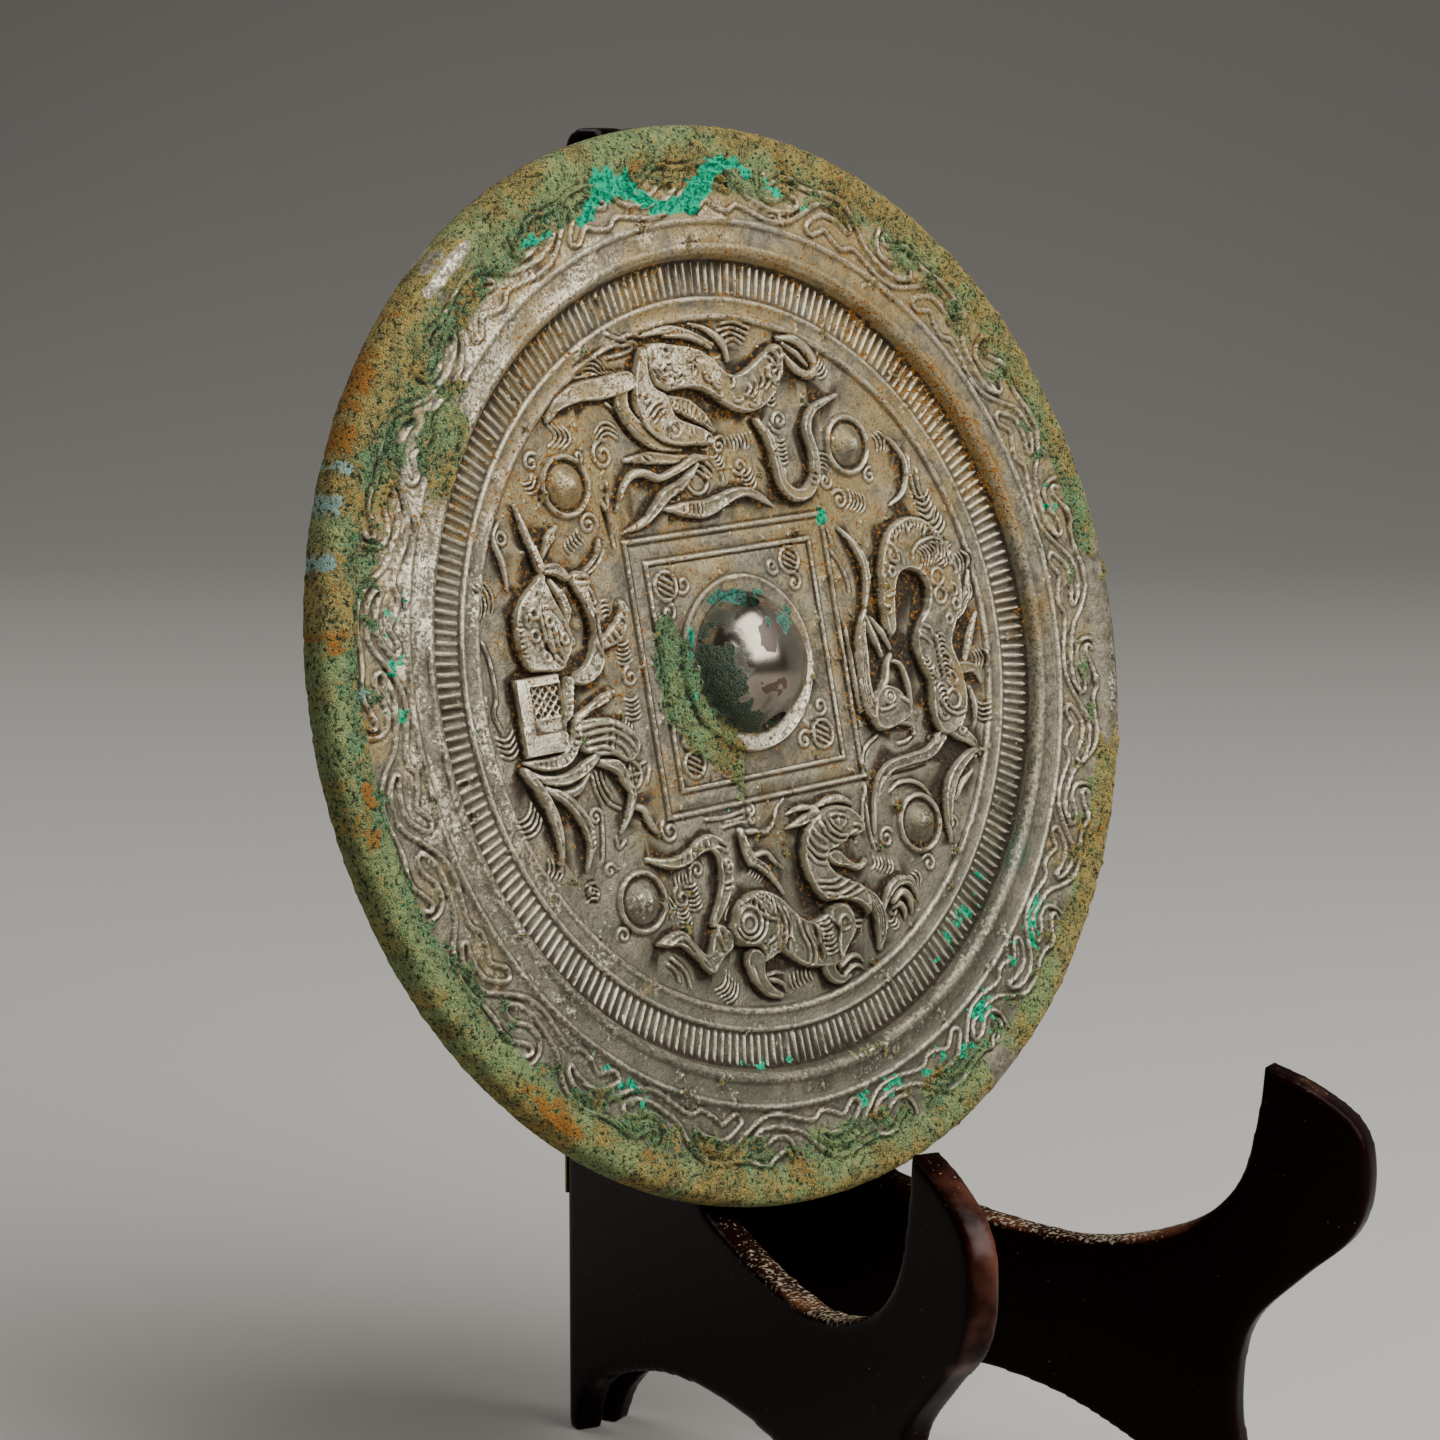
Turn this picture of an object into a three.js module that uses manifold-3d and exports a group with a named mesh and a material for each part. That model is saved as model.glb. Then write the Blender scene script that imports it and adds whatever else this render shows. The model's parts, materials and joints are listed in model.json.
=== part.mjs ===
// A cast bronze mirror with four spirit beasts, upright on a folding wooden stand.
// Millimetres, +Z up. The decorated side of the mirror looks along -Y and leans back a little.
// The origin is in the middle of the underside, on the surface that the stand's feet rest on.
import * as THREE from 'three';
import * as BufferGeometryUtils from 'three/addons/utils/BufferGeometryUtils.js';
import Module from 'manifold-3d';

const wasm = await Module();
wasm.setup();

// ---- driving dimensions of the mirror ----
// The mirror is drawn flat: x to the right, y up and z towards the person who looks at it,
// with z = 0 on the flat field that the beasts stand on.
const rimRadius = 99;           // outside of the mirror
const borderRadius = 92;        // where the rounded outer border meets the cloud band
const cloudRadius = 81.5;       // inner edge of the cloud band, a raised line
const rimTop = 3.15;            // flat of the broad rim above the field
const lineHeight = 0.6;         // raised lines and cloud scrolls above what carries them
const combOuter = 73.9;         // plain ground of the band of fine teeth, like a comb
const combInner = 67.5;
const fieldRadius = 63.6;       // the beasts' field
const backAtCentre = -4.4;      // reflecting face, a little proud in the middle
const backAtRim = -3.4;
const roundSteps = 48;          // flat facets round the disc
const squareHalf = 25;          // outer line of the square round the knob
const innerSquareHalf = 20.7;
const knobRadius = 12.4;
const knobHeight = 9.8;
const knobRingRadius = 16;
const cordHoleRadius = 2.7;     // hole for a silk cord, through the foot of the knob
const cordHoleHeight = 3.1;
const cordHoleAngle = -84;      // degrees, its run across the knob
const bossPlaces = [[-37, 36.5], [34.5, 37], [37.5, -36], [-35, -38.5]];
const bossRadius = 5.3;
const sink = 0.5;               // how deep raised work is rooted in the bronze below it
const smallestStep = 0.03;      // facets that differ by less than this are merged

// ---- driving dimensions of the stand ----
const leanBack = 11.1;          // degrees that the mirror leans
const turnInStand = 2.4;        // degrees that its pattern is turned, as it was set down
const halfSpread = 17.4;        // degrees from the middle plane to each board
const boardThickness = 6;
const mirrorCentreHeight = 155; // field centre above the table
const spineBehindMirror = 42.4; // spine behind the field centre
const spineGap = 0.2;           // each board stands this far from the middle plane
const boardBevel = 0.7;
const hingeHeights = [58, 196];
const hingeLength = 22;
const leafWidth = 5;
const leafThickness = 0.7;
const leafGap = 0.2;            // between a leaf and the wood behind it
const knuckleRadius = 1.7;
const pinBoreRadius = 1.0;
const pinRadius = 0.7;
const nailShankRadius = 0.55;
const nailHoleRadius = 0.85;
const nailLength = 7;
const nailSpread = 13;          // between the two nails of a leaf

const rad = THREE.MathUtils.degToRad;

// ---- materials ----
const bronze = new THREE.MeshStandardMaterial({ color: 0x8a8467, roughness: 0.55, metalness: 0.8 });
const lacqueredWood = new THREE.MeshStandardMaterial({ color: 0x2c110c, roughness: 0.3, metalness: 0 });
const brass = new THREE.MeshStandardMaterial({ color: 0xa8853f, roughness: 0.4, metalness: 0.9 });

// ---- solids from three.js geometry ----
function solidOf(geometry) {
  const bare = geometry.index ? geometry.toNonIndexed() : geometry.clone();
  bare.deleteAttribute('normal');
  bare.deleteAttribute('uv');
  const merged = BufferGeometryUtils.mergeVertices(bare, 1e-4);
  const corners = [];
  for (let i = 0; i < merged.index.count; i += 3) {
    const [a, b, c] = [0, 1, 2].map((k) => merged.index.getX(i + k));
    if (a !== b && b !== c && c !== a) corners.push(a, b, c);
  }
  return new wasm.Manifold(new wasm.Mesh({
    numProp: 3,
    vertProperties: new Float32Array(merged.attributes.position.array),
    triVerts: new Uint32Array(corners),
  }));
}

function joined(solids) {
  let row = solids;
  while (row.length > 1) {
    const next = [];
    for (let i = 0; i < row.length; i += 2) next.push(i + 1 < row.length ? row[i].add(row[i + 1]) : row[i]);
    row = next;
  }
  return row[0];
}

function meshOf(name, solid, material) {
  const { vertProperties, triVerts } = solid.getMesh();
  const geometry = new THREE.BufferGeometry();
  geometry.setAttribute('position', new THREE.BufferAttribute(new Float32Array(vertProperties), 3));
  geometry.setIndex(new THREE.BufferAttribute(new Uint32Array(triVerts), 1));
  geometry.computeVertexNormals();
  const mesh = new THREE.Mesh(geometry, material);
  mesh.name = name;
  return mesh;
}

// A skin over rings of points, all with the same count, closed by a fan at each end,
// or joined end to end where the rings run round.
function loft(rings, runsRound = false) {
  const count = rings[0].length;
  const position = rings.flat().flatMap((p) => [p.x, p.y, p.z]);
  const index = [];
  const spans = runsRound ? rings.length : rings.length - 1;
  for (let i = 0; i < spans; i += 1) {
    const here = i * count;
    const there = ((i + 1) % rings.length) * count;
    for (let j = 0; j < count; j += 1) {
      const k = (j + 1) % count;
      index.push(here + j, here + k, there + j, here + k, there + k, there + j);
    }
  }
  if (!runsRound) {
    const last = (rings.length - 1) * count;
    for (let j = 1; j < count - 1; j += 1) {
      index.push(0, j + 1, j, last, last + j, last + j + 1);
    }
  }
  const geometry = new THREE.BufferGeometry();
  geometry.setAttribute('position', new THREE.Float32BufferAttribute(position, 3));
  geometry.setIndex(index);
  return solidOf(geometry);
}

// A profile of [radius, height] pairs turned about +Z.
function turned(profile, steps) {
  const points = profile.map(([r, z]) => new THREE.Vector2(r, z));
  return solidOf(new THREE.LatheGeometry(points, steps).rotateX(Math.PI / 2));
}

function box(width, depth, height, x, y, z) {
  return solidOf(new THREE.BoxGeometry(width, depth, height).translate(x, y, z));
}

// ---- raised work ----
// Sections across a raised form, as [share of half width, share of height], rooted below zero.
const roundedSection = [[-1, 0], [-0.6, 0.85], [0.6, 0.85], [1, 0]];
const gableSection = [[-1, 0], [0, 1], [1, 0]];
const gableBelow = 1.35;        // forms narrower than this each side of their ridge are plain gables
const stepLength = 5.9;         // along a form, between two sections

function between(values, u) {
  const at = Math.min(u, 0.9999) * (values.length - 1);
  const i = Math.floor(at);
  return THREE.MathUtils.lerp(values[i], values[i + 1], at - i);
}

// A raised form that follows a flat curve through a few points. Half widths and heights are
// listed from its start to its end.
function raised({ way, wide, high, steps, floor = 0 }) {
  const curve = new THREE.CatmullRomCurve3(way.map(([x, y]) => new THREE.Vector3(x, y, 0)), false, 'centripetal');
  const count = steps ?? Math.max(2, Math.round(curve.getLength() / stepLength));
  const section = Math.max(...wide) < gableBelow ? gableSection : roundedSection;
  const rings = [];
  for (let i = 0; i <= count; i += 1) {
    const u = i / count;
    const p = curve.getPointAt(u);
    const t = curve.getTangentAt(u);
    const half = between(wide, u);
    const top = between(high, u);
    rings.push(section.map(([across, up]) => new THREE.Vector3(
      p.x + t.y * across * half,
      p.y - t.x * across * half,
      floor + (up === 0 ? -sink : up * top),
    )));
  }
  return loft(rings);
}

// A curl that winds in from a start angle, in degrees.
function curl(x, y, radius, startAngle, turns) {
  const steps = 6;
  const way = [];
  for (let i = 0; i <= steps; i += 1) {
    const u = i / steps;
    const angle = rad(startAngle + 360 * turns * u);
    const r = radius * (1 - 0.72 * u);
    way.push([x + r * Math.cos(angle), y + r * Math.sin(angle)]);
  }
  return raised({ way, wide: [0.6, 0.6], high: [lineHeight, lineHeight], steps });
}

// ---- the disc ----
function disc() {
  return turned([
    [0, backAtCentre], [50, -4.15], [96.5, backAtRim], [rimRadius, -2], [rimRadius, 2.4],
    [97.6, rimTop + 0.75], [93.4, rimTop + 0.75], [borderRadius, rimTop],
    [cloudRadius + 0.4, rimTop], [cloudRadius - 0.4, rimTop + lineHeight], [cloudRadius - 1.6, rimTop],
    [77, rimTop], [76.3, rimTop + lineHeight], [75.4, rimTop + 0.2], [combOuter, 0.3],
    [combInner, 0.1], [67.1, 0.8], [fieldRadius + 0.5, 0.8], [fieldRadius, 0], [0, 0],
  ], roundSteps);
}

// ---- the cloud band: a running wave with a curled head in each bend ----
const waveSpacing = 20.6;         // degrees between waves
const tightSpacing = 17;          // where the last waves were squeezed in to close the ring
const tightFrom = 11;
const tightWaves = 3;
const firstWave = 212.5;
function waveAngle(i) {
  const tight = THREE.MathUtils.clamp(i - tightFrom, 0, tightWaves);
  return firstWave - waveSpacing * (i - tight) - tightSpacing * tight;
}
const waveCount = 18;

// A share of one wave, from 0 at its start to 1 at the next wave's start, as an angle in degrees.
function waveShare(i, share) {
  const next = i === waveCount - 1 ? firstWave - 360 : waveAngle(i + 1);
  return THREE.MathUtils.lerp(waveAngle(i), next, share);
}

// Radius of the running band over one wave, listed at even steps.
const waveRadii = [88.9, 90.2, 88, 84.6, 84.2];
const waveHalfWidth = 1.3;

function cloudBand() {
  const ring = [];
  const heads = [];
  for (let i = 0; i < waveCount; i += 1) {
    const at = (share, r, z = 0) => {
      const angle = rad(waveShare(i, share));
      return new THREE.Vector3(r * Math.cos(angle), r * Math.sin(angle), z);
    };
    waveRadii.forEach((r, k) => {
      const share = k / waveRadii.length;
      ring.push([
        at(share, r - waveHalfWidth, rimTop - sink), at(share, r, rimTop + lineHeight),
        at(share, r + waveHalfWidth, rimTop - sink),
      ]);
    });
    const flat = (share, r) => at(share, r).toArray().slice(0, 2);
    const head = { wide: [0.6, 0.6], high: [lineHeight, lineHeight], floor: rimTop };
    heads.push(raised({ way: [flat(0.3, 86.4), flat(0.12, 86.9), flat(0.02, 83.8)], steps: 3, ...head }));
    heads.push(raised({ way: [flat(0.84, 91), flat(0.62, 90.2), flat(0.68, 87.4)], steps: 3, ...head }));
  }
  return loft(ring.reverse(), true).add(joined(heads));
}

// ---- the knob, with its ring and its hole for a cord ----
function knob() {
  const dome = turned([
    [0, -sink], [knobRadius, -sink], [knobRadius, 2], [knobRadius * 0.9, knobHeight * 0.55],
    [knobRadius * 0.62, knobHeight * 0.85], [knobRadius * 0.3, knobHeight * 0.97], [0, knobHeight],
  ], 18);
  const ring = turned([[knobRingRadius - 2, -sink], [knobRingRadius, -sink], [knobRingRadius - 0.5, 0.7],
    [knobRingRadius - 1.5, 0.7], [knobRingRadius - 2, -sink]], 18);
  return dome.add(ring);
}

function cordHole() {
  const length = knobRingRadius * 2 - 5;
  return solidOf(new THREE.CylinderGeometry(cordHoleRadius, cordHoleRadius, length, 12)
    .rotateZ(rad(cordHoleAngle - 90)).translate(0, 0, cordHoleHeight));
}

// ---- the square round the knob, and a curled leaf in each of its corners ----
function squareFrame() {
  const parts = [];
  for (const [half, width] of [[squareHalf, 0.9], [innerSquareHalf, 0.7]]) {
    for (let side = 0; side < 4; side += 1) {
      const bar = new THREE.BoxGeometry(half * 2 + width, width, lineHeight + sink)
        .translate(0, half, (lineHeight - sink) / 2).rotateZ((side * Math.PI) / 2);
      parts.push(solidOf(bar));
    }
  }
  for (let corner = 0; corner < 4; corner += 1) {
    const turn = 45 + corner * 90;
    const at = (along, across) => {
      const a = rad(turn);
      return [along * Math.cos(a) - across * Math.sin(a), along * Math.sin(a) + across * Math.cos(a)];
    };
    for (const side of [-1, 1]) {
      parts.push(raised({
        way: [at(26, 0), at(21.3, side * 1.2), at(19.6, side * 4.4), at(18.4, side * 2.4)],
        wide: [0.6, 0.8], high: [0.8, 0.7], steps: 4,
      }));
    }
  }
  return joined(parts);
}

// ---- the four bosses: a pointed stud in a ring ----
function bosses() {
  return joined(bossPlaces.map(([x, y]) => turned([
    [0, -sink], [bossRadius, -sink], [bossRadius - 0.4, 1], [bossRadius - 1.1, 1], [bossRadius - 1.6, 0.3],
    [2.8, 0.5], [1.4, 2.6], [0, 3.1],
  ], 10).translate([x, y, 0])));
}

// ---- the beasts, one in each side of the field ----
// Upper beast: a bird's neck and head, a scaled body thrown back over it, and a long looped tail.
const upperBeast = [
  { way: [[-15.5, 58.5], [-16.8, 52], [-15.5, 46.5], [-9.5, 43], [-1.5, 41]],
    wide: [1.6, 2.2, 4, 3.3, 1.2], high: [1.6, 2.2, 2.7, 2.6, 1.6] },
  { way: [[-9.5, 48.5], [-5, 46.6], [0.5, 43.2]], wide: [1.6, 1.7, 0.5], high: [2.2, 2, 1.2] },
  { way: [[-13.6, 57], [-8, 55.6], [-2, 54.8], [4.5, 50.8], [9.5, 48.6], [14.5, 51], [18.8, 56.2]],
    wide: [2.2, 4.4, 3.8, 3, 3.2, 3.6, 1.6], high: [1.8, 2.9, 2.8, 2.4, 2.5, 2.4, 1.6] },
  { way: [[19.2, 57.6], [24, 53.5], [28.2, 50.6]], wide: [0.9, 1.9, 1.2], high: [1.5, 1.5, 1] },
  { way: [[-18.5, 53.8], [-25, 52.9], [-31, 52.6], [-36, 51], [-38.8, 48]],
    wide: [1.8, 2.2, 2, 1.6, 0.7], high: [1.6, 1.7, 1.6, 1.5, 0.9] },
  { way: [[-20.5, 52.6], [-20.6, 48], [-17, 43.6], [-10.5, 40.6]],
    wide: [1.2, 1.5, 1.3, 0.5], high: [1.3, 1.3, 1.3, 0.7] },
  { way: [[-14.8, 59.4], [-19, 60.6], [-24, 60]], wide: [1.1, 0.8, 0.3], high: [1.6, 1.2, 0.8] },
  { way: [[-12.5, 59.8], [-17, 61.8], [-21, 62.2]], wide: [0.9, 0.6, 0.3], high: [1.5, 1.1, 0.7] },
  { way: [[-5, 60.2], [2, 58.6], [6.6, 56.2]], wide: [0.4, 1.1, 0.8], high: [0.9, 1.4, 1.2] },
  { way: [[10.5, 43], [12.6, 38], [13, 33.5], [15, 30], [19.3, 28.8], [23, 31.3], [24.2, 36.4],
    [24, 41.4], [27.5, 45], [33, 46.4]],
    wide: [0.9, 1.3, 1.4, 1.5, 1.6, 1.6, 1.5, 1.4, 1.2, 0.6],
    high: [1.2, 1.8, 2, 2, 2, 2, 2, 1.8, 1.5, 1] },
  { way: [[-26, 31.4], [-22.5, 36.2], [-18.4, 37.3], [-13.8, 36.4], [-8, 38.2], [-3.4, 38]],
    wide: [0.4, 0.7, 1, 1, 1.1, 0.8], high: [0.8, 1.4, 1.6, 1.6, 1.8, 1.4] },
  { way: [[-25.5, 27], [-20, 28.6], [-16, 32.4], [-10.6, 34.2], [-6, 36.2], [-1.6, 34.2]],
    wide: [0.4, 0.8, 1.2, 1.2, 2.2, 1.2], high: [0.8, 1.4, 1.8, 1.8, 2.2, 1.4] },
  { way: [[-14.6, 31], [-9.5, 28.8], [-4, 28.6], [2, 30.9], [7, 30.6], [13, 27.6]],
    wide: [0.6, 1.6, 1.5, 1.1, 0.9, 0.4], high: [1, 1.6, 1.6, 1.3, 1.1, 0.7] },
];

// Right beast: a dragon whose neck arches over and down to a horned head.
const rightBeast = [
  { way: [[37, 0], [36.2, 6], [37.4, 13], [41.8, 18.3], [48, 18.2], [53, 13.4], [53.2, 6.5], [48.8, 1.4],
    [46.6, -5.4], [48.6, -12.4], [47, -19.5]],
    wide: [1.2, 1.9, 2.6, 3.2, 4, 4.8, 4.6, 3.8, 3.6, 4, 2.2],
    high: [1.4, 2, 2.4, 2.6, 2.8, 3, 3, 2.8, 2.7, 2.6, 1.4] },
  { way: [[36.2, -4.5], [34.6, -9.5], [33, -13.2], [29, -15.6]],
    wide: [1.6, 3, 3.2, 1.6], high: [1.8, 2.6, 2.8, 2] },
  { way: [[33.6, -15.6], [37.2, -15.8], [39.4, -17.2]], wide: [1.6, 1.3, 0.6], high: [2, 1.7, 1] },
  { way: [[31.5, -19.6], [35.6, -20], [39.2, -19.4]], wide: [0.5, 0.7, 0.4], high: [0.8, 1.2, 0.8] },
  { way: [[28.4, 21.8], [32.4, 17], [33.6, 11], [32.2, 5.4], [28.8, 0.2], [27.3, -6.5], [28.4, -12.5]],
    wide: [0.5, 0.9, 1, 1, 1.2, 1.4, 1.2], high: [0.8, 1.3, 1.5, 1.6, 1.8, 2, 2] },
  { way: [[35.2, -4], [33.8, 0], [32.2, 3.6]], wide: [1.1, 1.2, 0.4], high: [1.8, 1.6, 1] },
  { way: [[38.4, -5], [39.2, -9.5], [38.6, -13.6]], wide: [0.7, 0.9, 0.5], high: [1.4, 1.5, 1] },
  { way: [[52.5, 0.6], [57.4, 3.4], [61.2, 7.6]], wide: [1.8, 1.4, 0.6], high: [2, 1.6, 0.9] },
  { way: [[56.4, -7.6], [58.6, -3.4], [61.2, 0.2]], wide: [0.6, 0.9, 0.4], high: [1, 1.4, 0.9] },
  { way: [[51.4, -9.4], [55.4, -9], [59.6, -10.4]], wide: [1.6, 1.4, 0.8], high: [2, 1.6, 1] },
  { way: [[47.5, -17.5], [52.4, -20.4], [56.8, -23.6]], wide: [1.8, 1.5, 0.7], high: [1.8, 1.5, 0.8] },
  { way: [[57.2, -11.2], [57.4, -17], [55.6, -21.6]], wide: [0.5, 0.9, 0.4], high: [0.8, 1.2, 0.7] },
  { way: [[45.4, -21.4], [40, -23.4], [34, -23.8], [28.6, -26.4], [25.8, -31.2]],
    wide: [1.4, 1.2, 1.2, 1.1, 0.6], high: [1.4, 1.4, 1.3, 1.2, 0.8] },
  { way: [[44.6, 24.4], [48, 27.4], [49.2, 32]], wide: [0.5, 0.8, 0.4], high: [0.8, 1.1, 0.7] },
  { way: [[58, -26.4], [52.4, -29.4], [46.6, -34.6], [45, -41]],
    wide: [0.5, 1.1, 1.4, 0.8], high: [0.9, 1.4, 1.6, 1] },
];

// Lower beast: a striding tiger that looks back over its shoulder with its mouth open.
const lowerBeast = [
  { way: [[-14.8, -47.4], [-9.6, -46.2], [-3.4, -49.2], [3.6, -53.2], [10.6, -51], [15.4, -46.8]],
    wide: [3, 5, 4.4, 4.6, 5.4, 3.4], high: [2, 3, 2.6, 2.7, 3, 2.2] },
  { way: [[14.6, -48], [11.6, -43.8], [8, -39.4], [8, -34.6], [12, -32.2]],
    wide: [5, 4, 3.2, 3, 3.4], high: [2.6, 2.6, 2.4, 2.4, 2.8] },
  { way: [[10.4, -31.6], [14.6, -32.2], [18.4, -33.2], [21, -34.6]],
    wide: [3, 3.2, 2.6, 1], high: [2.4, 2.9, 2.4, 1.6] },
  { way: [[10.6, -37.4], [14.6, -38.8], [17.6, -40.8], [20.8, -40.4]],
    wide: [1.2, 1, 0.9, 0.5], high: [1.8, 1.6, 1.4, 1] },
  { way: [[10.6, -29], [6.6, -28.4], [2.4, -30.6]], wide: [1, 1.3, 0.4], high: [1.8, 1.6, 0.9] },
  { way: [[11, -28.6], [15.6, -27.6], [20, -29.4]], wide: [0.6, 0.9, 0.5], high: [1.4, 1.6, 1] },
  { way: [[17.4, -47], [20.8, -50.4], [21.4, -55.6]], wide: [2.8, 2, 1.4], high: [2.2, 1.9, 1.2] },
  { way: [[22.6, -51.6], [26.4, -48.2], [31, -47.6], [33.6, -51.6]],
    wide: [1.6, 1.9, 1.5, 0.6], high: [1.5, 1.9, 1.5, 0.8] },
  { way: [[7.4, -55], [8.2, -58.4], [12, -60], [17, -59.4]],
    wide: [2.4, 1.6, 1.1, 0.5], high: [2.2, 1.6, 1.2, 0.8] },
  { way: [[-11.6, -49.6], [-12.4, -54.4], [-9.8, -58.6], [-4, -60.4]],
    wide: [3.4, 2, 1.4, 0.8], high: [2.2, 1.7, 1.4, 0.9] },
  { way: [[-15.4, -48.6], [-20.4, -49.8], [-23.4, -53.8]], wide: [2.6, 2, 0.9], high: [1.9, 1.5, 0.9] },
  { way: [[-21, -50.4], [-25.4, -46.4], [-31, -46.4]], wide: [1.2, 1.3, 0.5], high: [1.4, 1.3, 0.8] },
  { way: [[-18.4, -44], [-15.4, -41], [-14.2, -36], [-15.8, -31.6], [-20, -30.6], [-25.6, -32.6], [-32, -31.4]],
    wide: [1.6, 1.4, 1.5, 1.5, 1.3, 1.2, 0.6], high: [1.6, 1.6, 1.6, 1.6, 1.5, 1.3, 0.8] },
];

// A small winged rider above the tiger's back.
const smallRider = [
  { way: [[-9.2, -30.6], [-8.8, -35.4], [-4.6, -38.8], [-1.2, -43]],
    wide: [0.6, 1.4, 1.1, 0.5], high: [0.9, 1.4, 1.2, 0.8] },
  { way: [[-8, -31.2], [-4.2, -31.2], [-1, -30.2], [3, -26.4]],
    wide: [0.9, 0.7, 0.6, 0.3], high: [1.2, 1, 0.9, 0.6] },
  { way: [[-6.4, -35.2], [-3.2, -35.4], [0.4, -38.4]], wide: [0.9, 0.8, 0.4], high: [1.1, 1, 0.7] },
];

// Left beast: a long-necked creature with a spotted shell that walks out from behind a latticed chest.
const leftBeast = [
  { way: [[-46.8, 24.6], [-49, 18.6], [-48.6, 12.4], [-47.2, 6.2]],
    wide: [1, 5, 6.8, 3.6], high: [1.2, 2.2, 2.7, 1.8] },
  { way: [[-47, 24], [-48.6, 29], [-50, 35]], wide: [1.1, 1, 0.5], high: [1.4, 1.4, 0.9] },
  { way: [[-45.6, 20.8], [-42, 20.6], [-37.8, 16.4], [-37, 10.6], [-39.6, 5], [-44.2, 2.6]],
    wide: [0.9, 1.2, 1.5, 1.6, 1.5, 1.2], high: [1.4, 1.7, 1.9, 2, 1.9, 1.6] },
  { way: [[-37.4, 15.6], [-38.8, 19.2], [-35.8, 21], [-30, 24.4]],
    wide: [1.2, 1.9, 1.4, 0.5], high: [1.6, 1.9, 1.5, 0.8] },
  { way: [[-34.6, 8.6], [-31, 9.4], [-28.4, 13]], wide: [1.4, 1.7, 0.8], high: [1.5, 1.7, 1] },
  { way: [[-44.4, 2.8], [-45.8, -2.6], [-48.4, -7.6], [-52.6, -10.6], [-56.6, -9.8]],
    wide: [1.2, 1.3, 1.4, 1.2, 0.6], high: [1.5, 1.6, 1.6, 1.4, 0.9] },
  { way: [[-43.4, -3.6], [-38.6, -2], [-34, -0.6]], wide: [1, 1, 0.8], high: [1.3, 1.2, 1] },
  { way: [[-56.4, -11.6], [-52, -14.2], [-46, -13.4], [-41, -10.6], [-35, -9.8], [-30.6, -12.6]],
    wide: [0.6, 1.3, 2, 3, 3.3, 0.9], high: [0.9, 1.5, 1.9, 2.2, 2, 1] },
  { way: [[-56.6, -13.2], [-53.6, -19.4], [-53.4, -26.6]], wide: [1.1, 1.6, 1], high: [1.4, 1.7, 1.1] },
  { way: [[-52.6, -17], [-49, -20.6], [-46.6, -26.4], [-47, -31]],
    wide: [1.4, 1.6, 1.3, 0.6], high: [1.8, 1.9, 1.5, 0.8] },
  { way: [[-40.4, -13.4], [-36.6, -17.4], [-33.6, -20.6], [-30.6, -26.4]],
    wide: [1.2, 1.6, 1.5, 0.6], high: [1.5, 1.7, 1.5, 0.8] },
];

function latticeChest() {
  const [left, right, top, bottom] = [-57, -46.8, 4.2, -9.4];
  const width = right - left;
  const height = top - bottom;
  const [x, y] = [(left + right) / 2, (top + bottom) / 2];
  const parts = [box(width, height, 1.3 + sink, x, y, (1.3 - sink) / 2)];
  const frame = 2.2;
  for (const side of [-1, 1]) {
    parts.push(box(frame, height, 1.7 + sink, x + (side * (width - frame)) / 2, y, (1.7 - sink) / 2));
    parts.push(box(width, frame, 1.7 + sink, x, y + (side * (height - frame)) / 2, (1.7 - sink) / 2));
  }
  parts.push(box(width - frame, 0.6, 1.6, x, y, 0.8));
  parts.push(box(0.6, height - frame, 1.6, x, y, 0.8));
  return joined(parts);
}

// Curls of cloud that fill the gaps: centre, radius, start angle and turns.
const fillers = [
  [18.4, 43, 2.2, 200, -1], [-27, 41.2, 2.9, 60, 1], [31, 26.8, 2.3, 150, -1], [-26, -26.6, 2.1, 90, 1],
  [-26, -39.6, 2.2, 60, 1], [28.6, -37.4, 2, 20, 1], [-29, 1.2, 2, 80, 1], [-33, 29, 2.2, -20, 1],
];

// All raised work is rooted in the disc, as it came out of one mould.
function mirror() {
  const raisedWork = joined([
    cloudBand(), knob(), squareFrame(), bosses(), latticeChest(),
    ...[...upperBeast, ...rightBeast, ...lowerBeast, ...leftBeast, ...smallRider].map(raised),
    ...fillers.map(([x, y, radius, angle, turns]) => curl(x, y, radius, angle, turns)),
  ]);
  return disc().add(raisedWork).subtract(cordHole()).simplify(smallestStep);
}

// ---- the stand's boards ----
// Outline of a board, as distance in front of the spine and height above the table.
const footHeel = 4;
const footToe = [129, 141];
const hookTip = [137.6, 87.6];
const seat = [60.6, 59.1];          // where the mirror's edge rests
const uprightTop = 252;
const uprightSlope = Math.tan(rad(leanBack)) / Math.cos(rad(halfSpread));
const uprightAtMirrorCentre = 39.7;
const uprightFront = (height) => uprightAtMirrorCentre - (height - mirrorCentreHeight) * uprightSlope;

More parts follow.
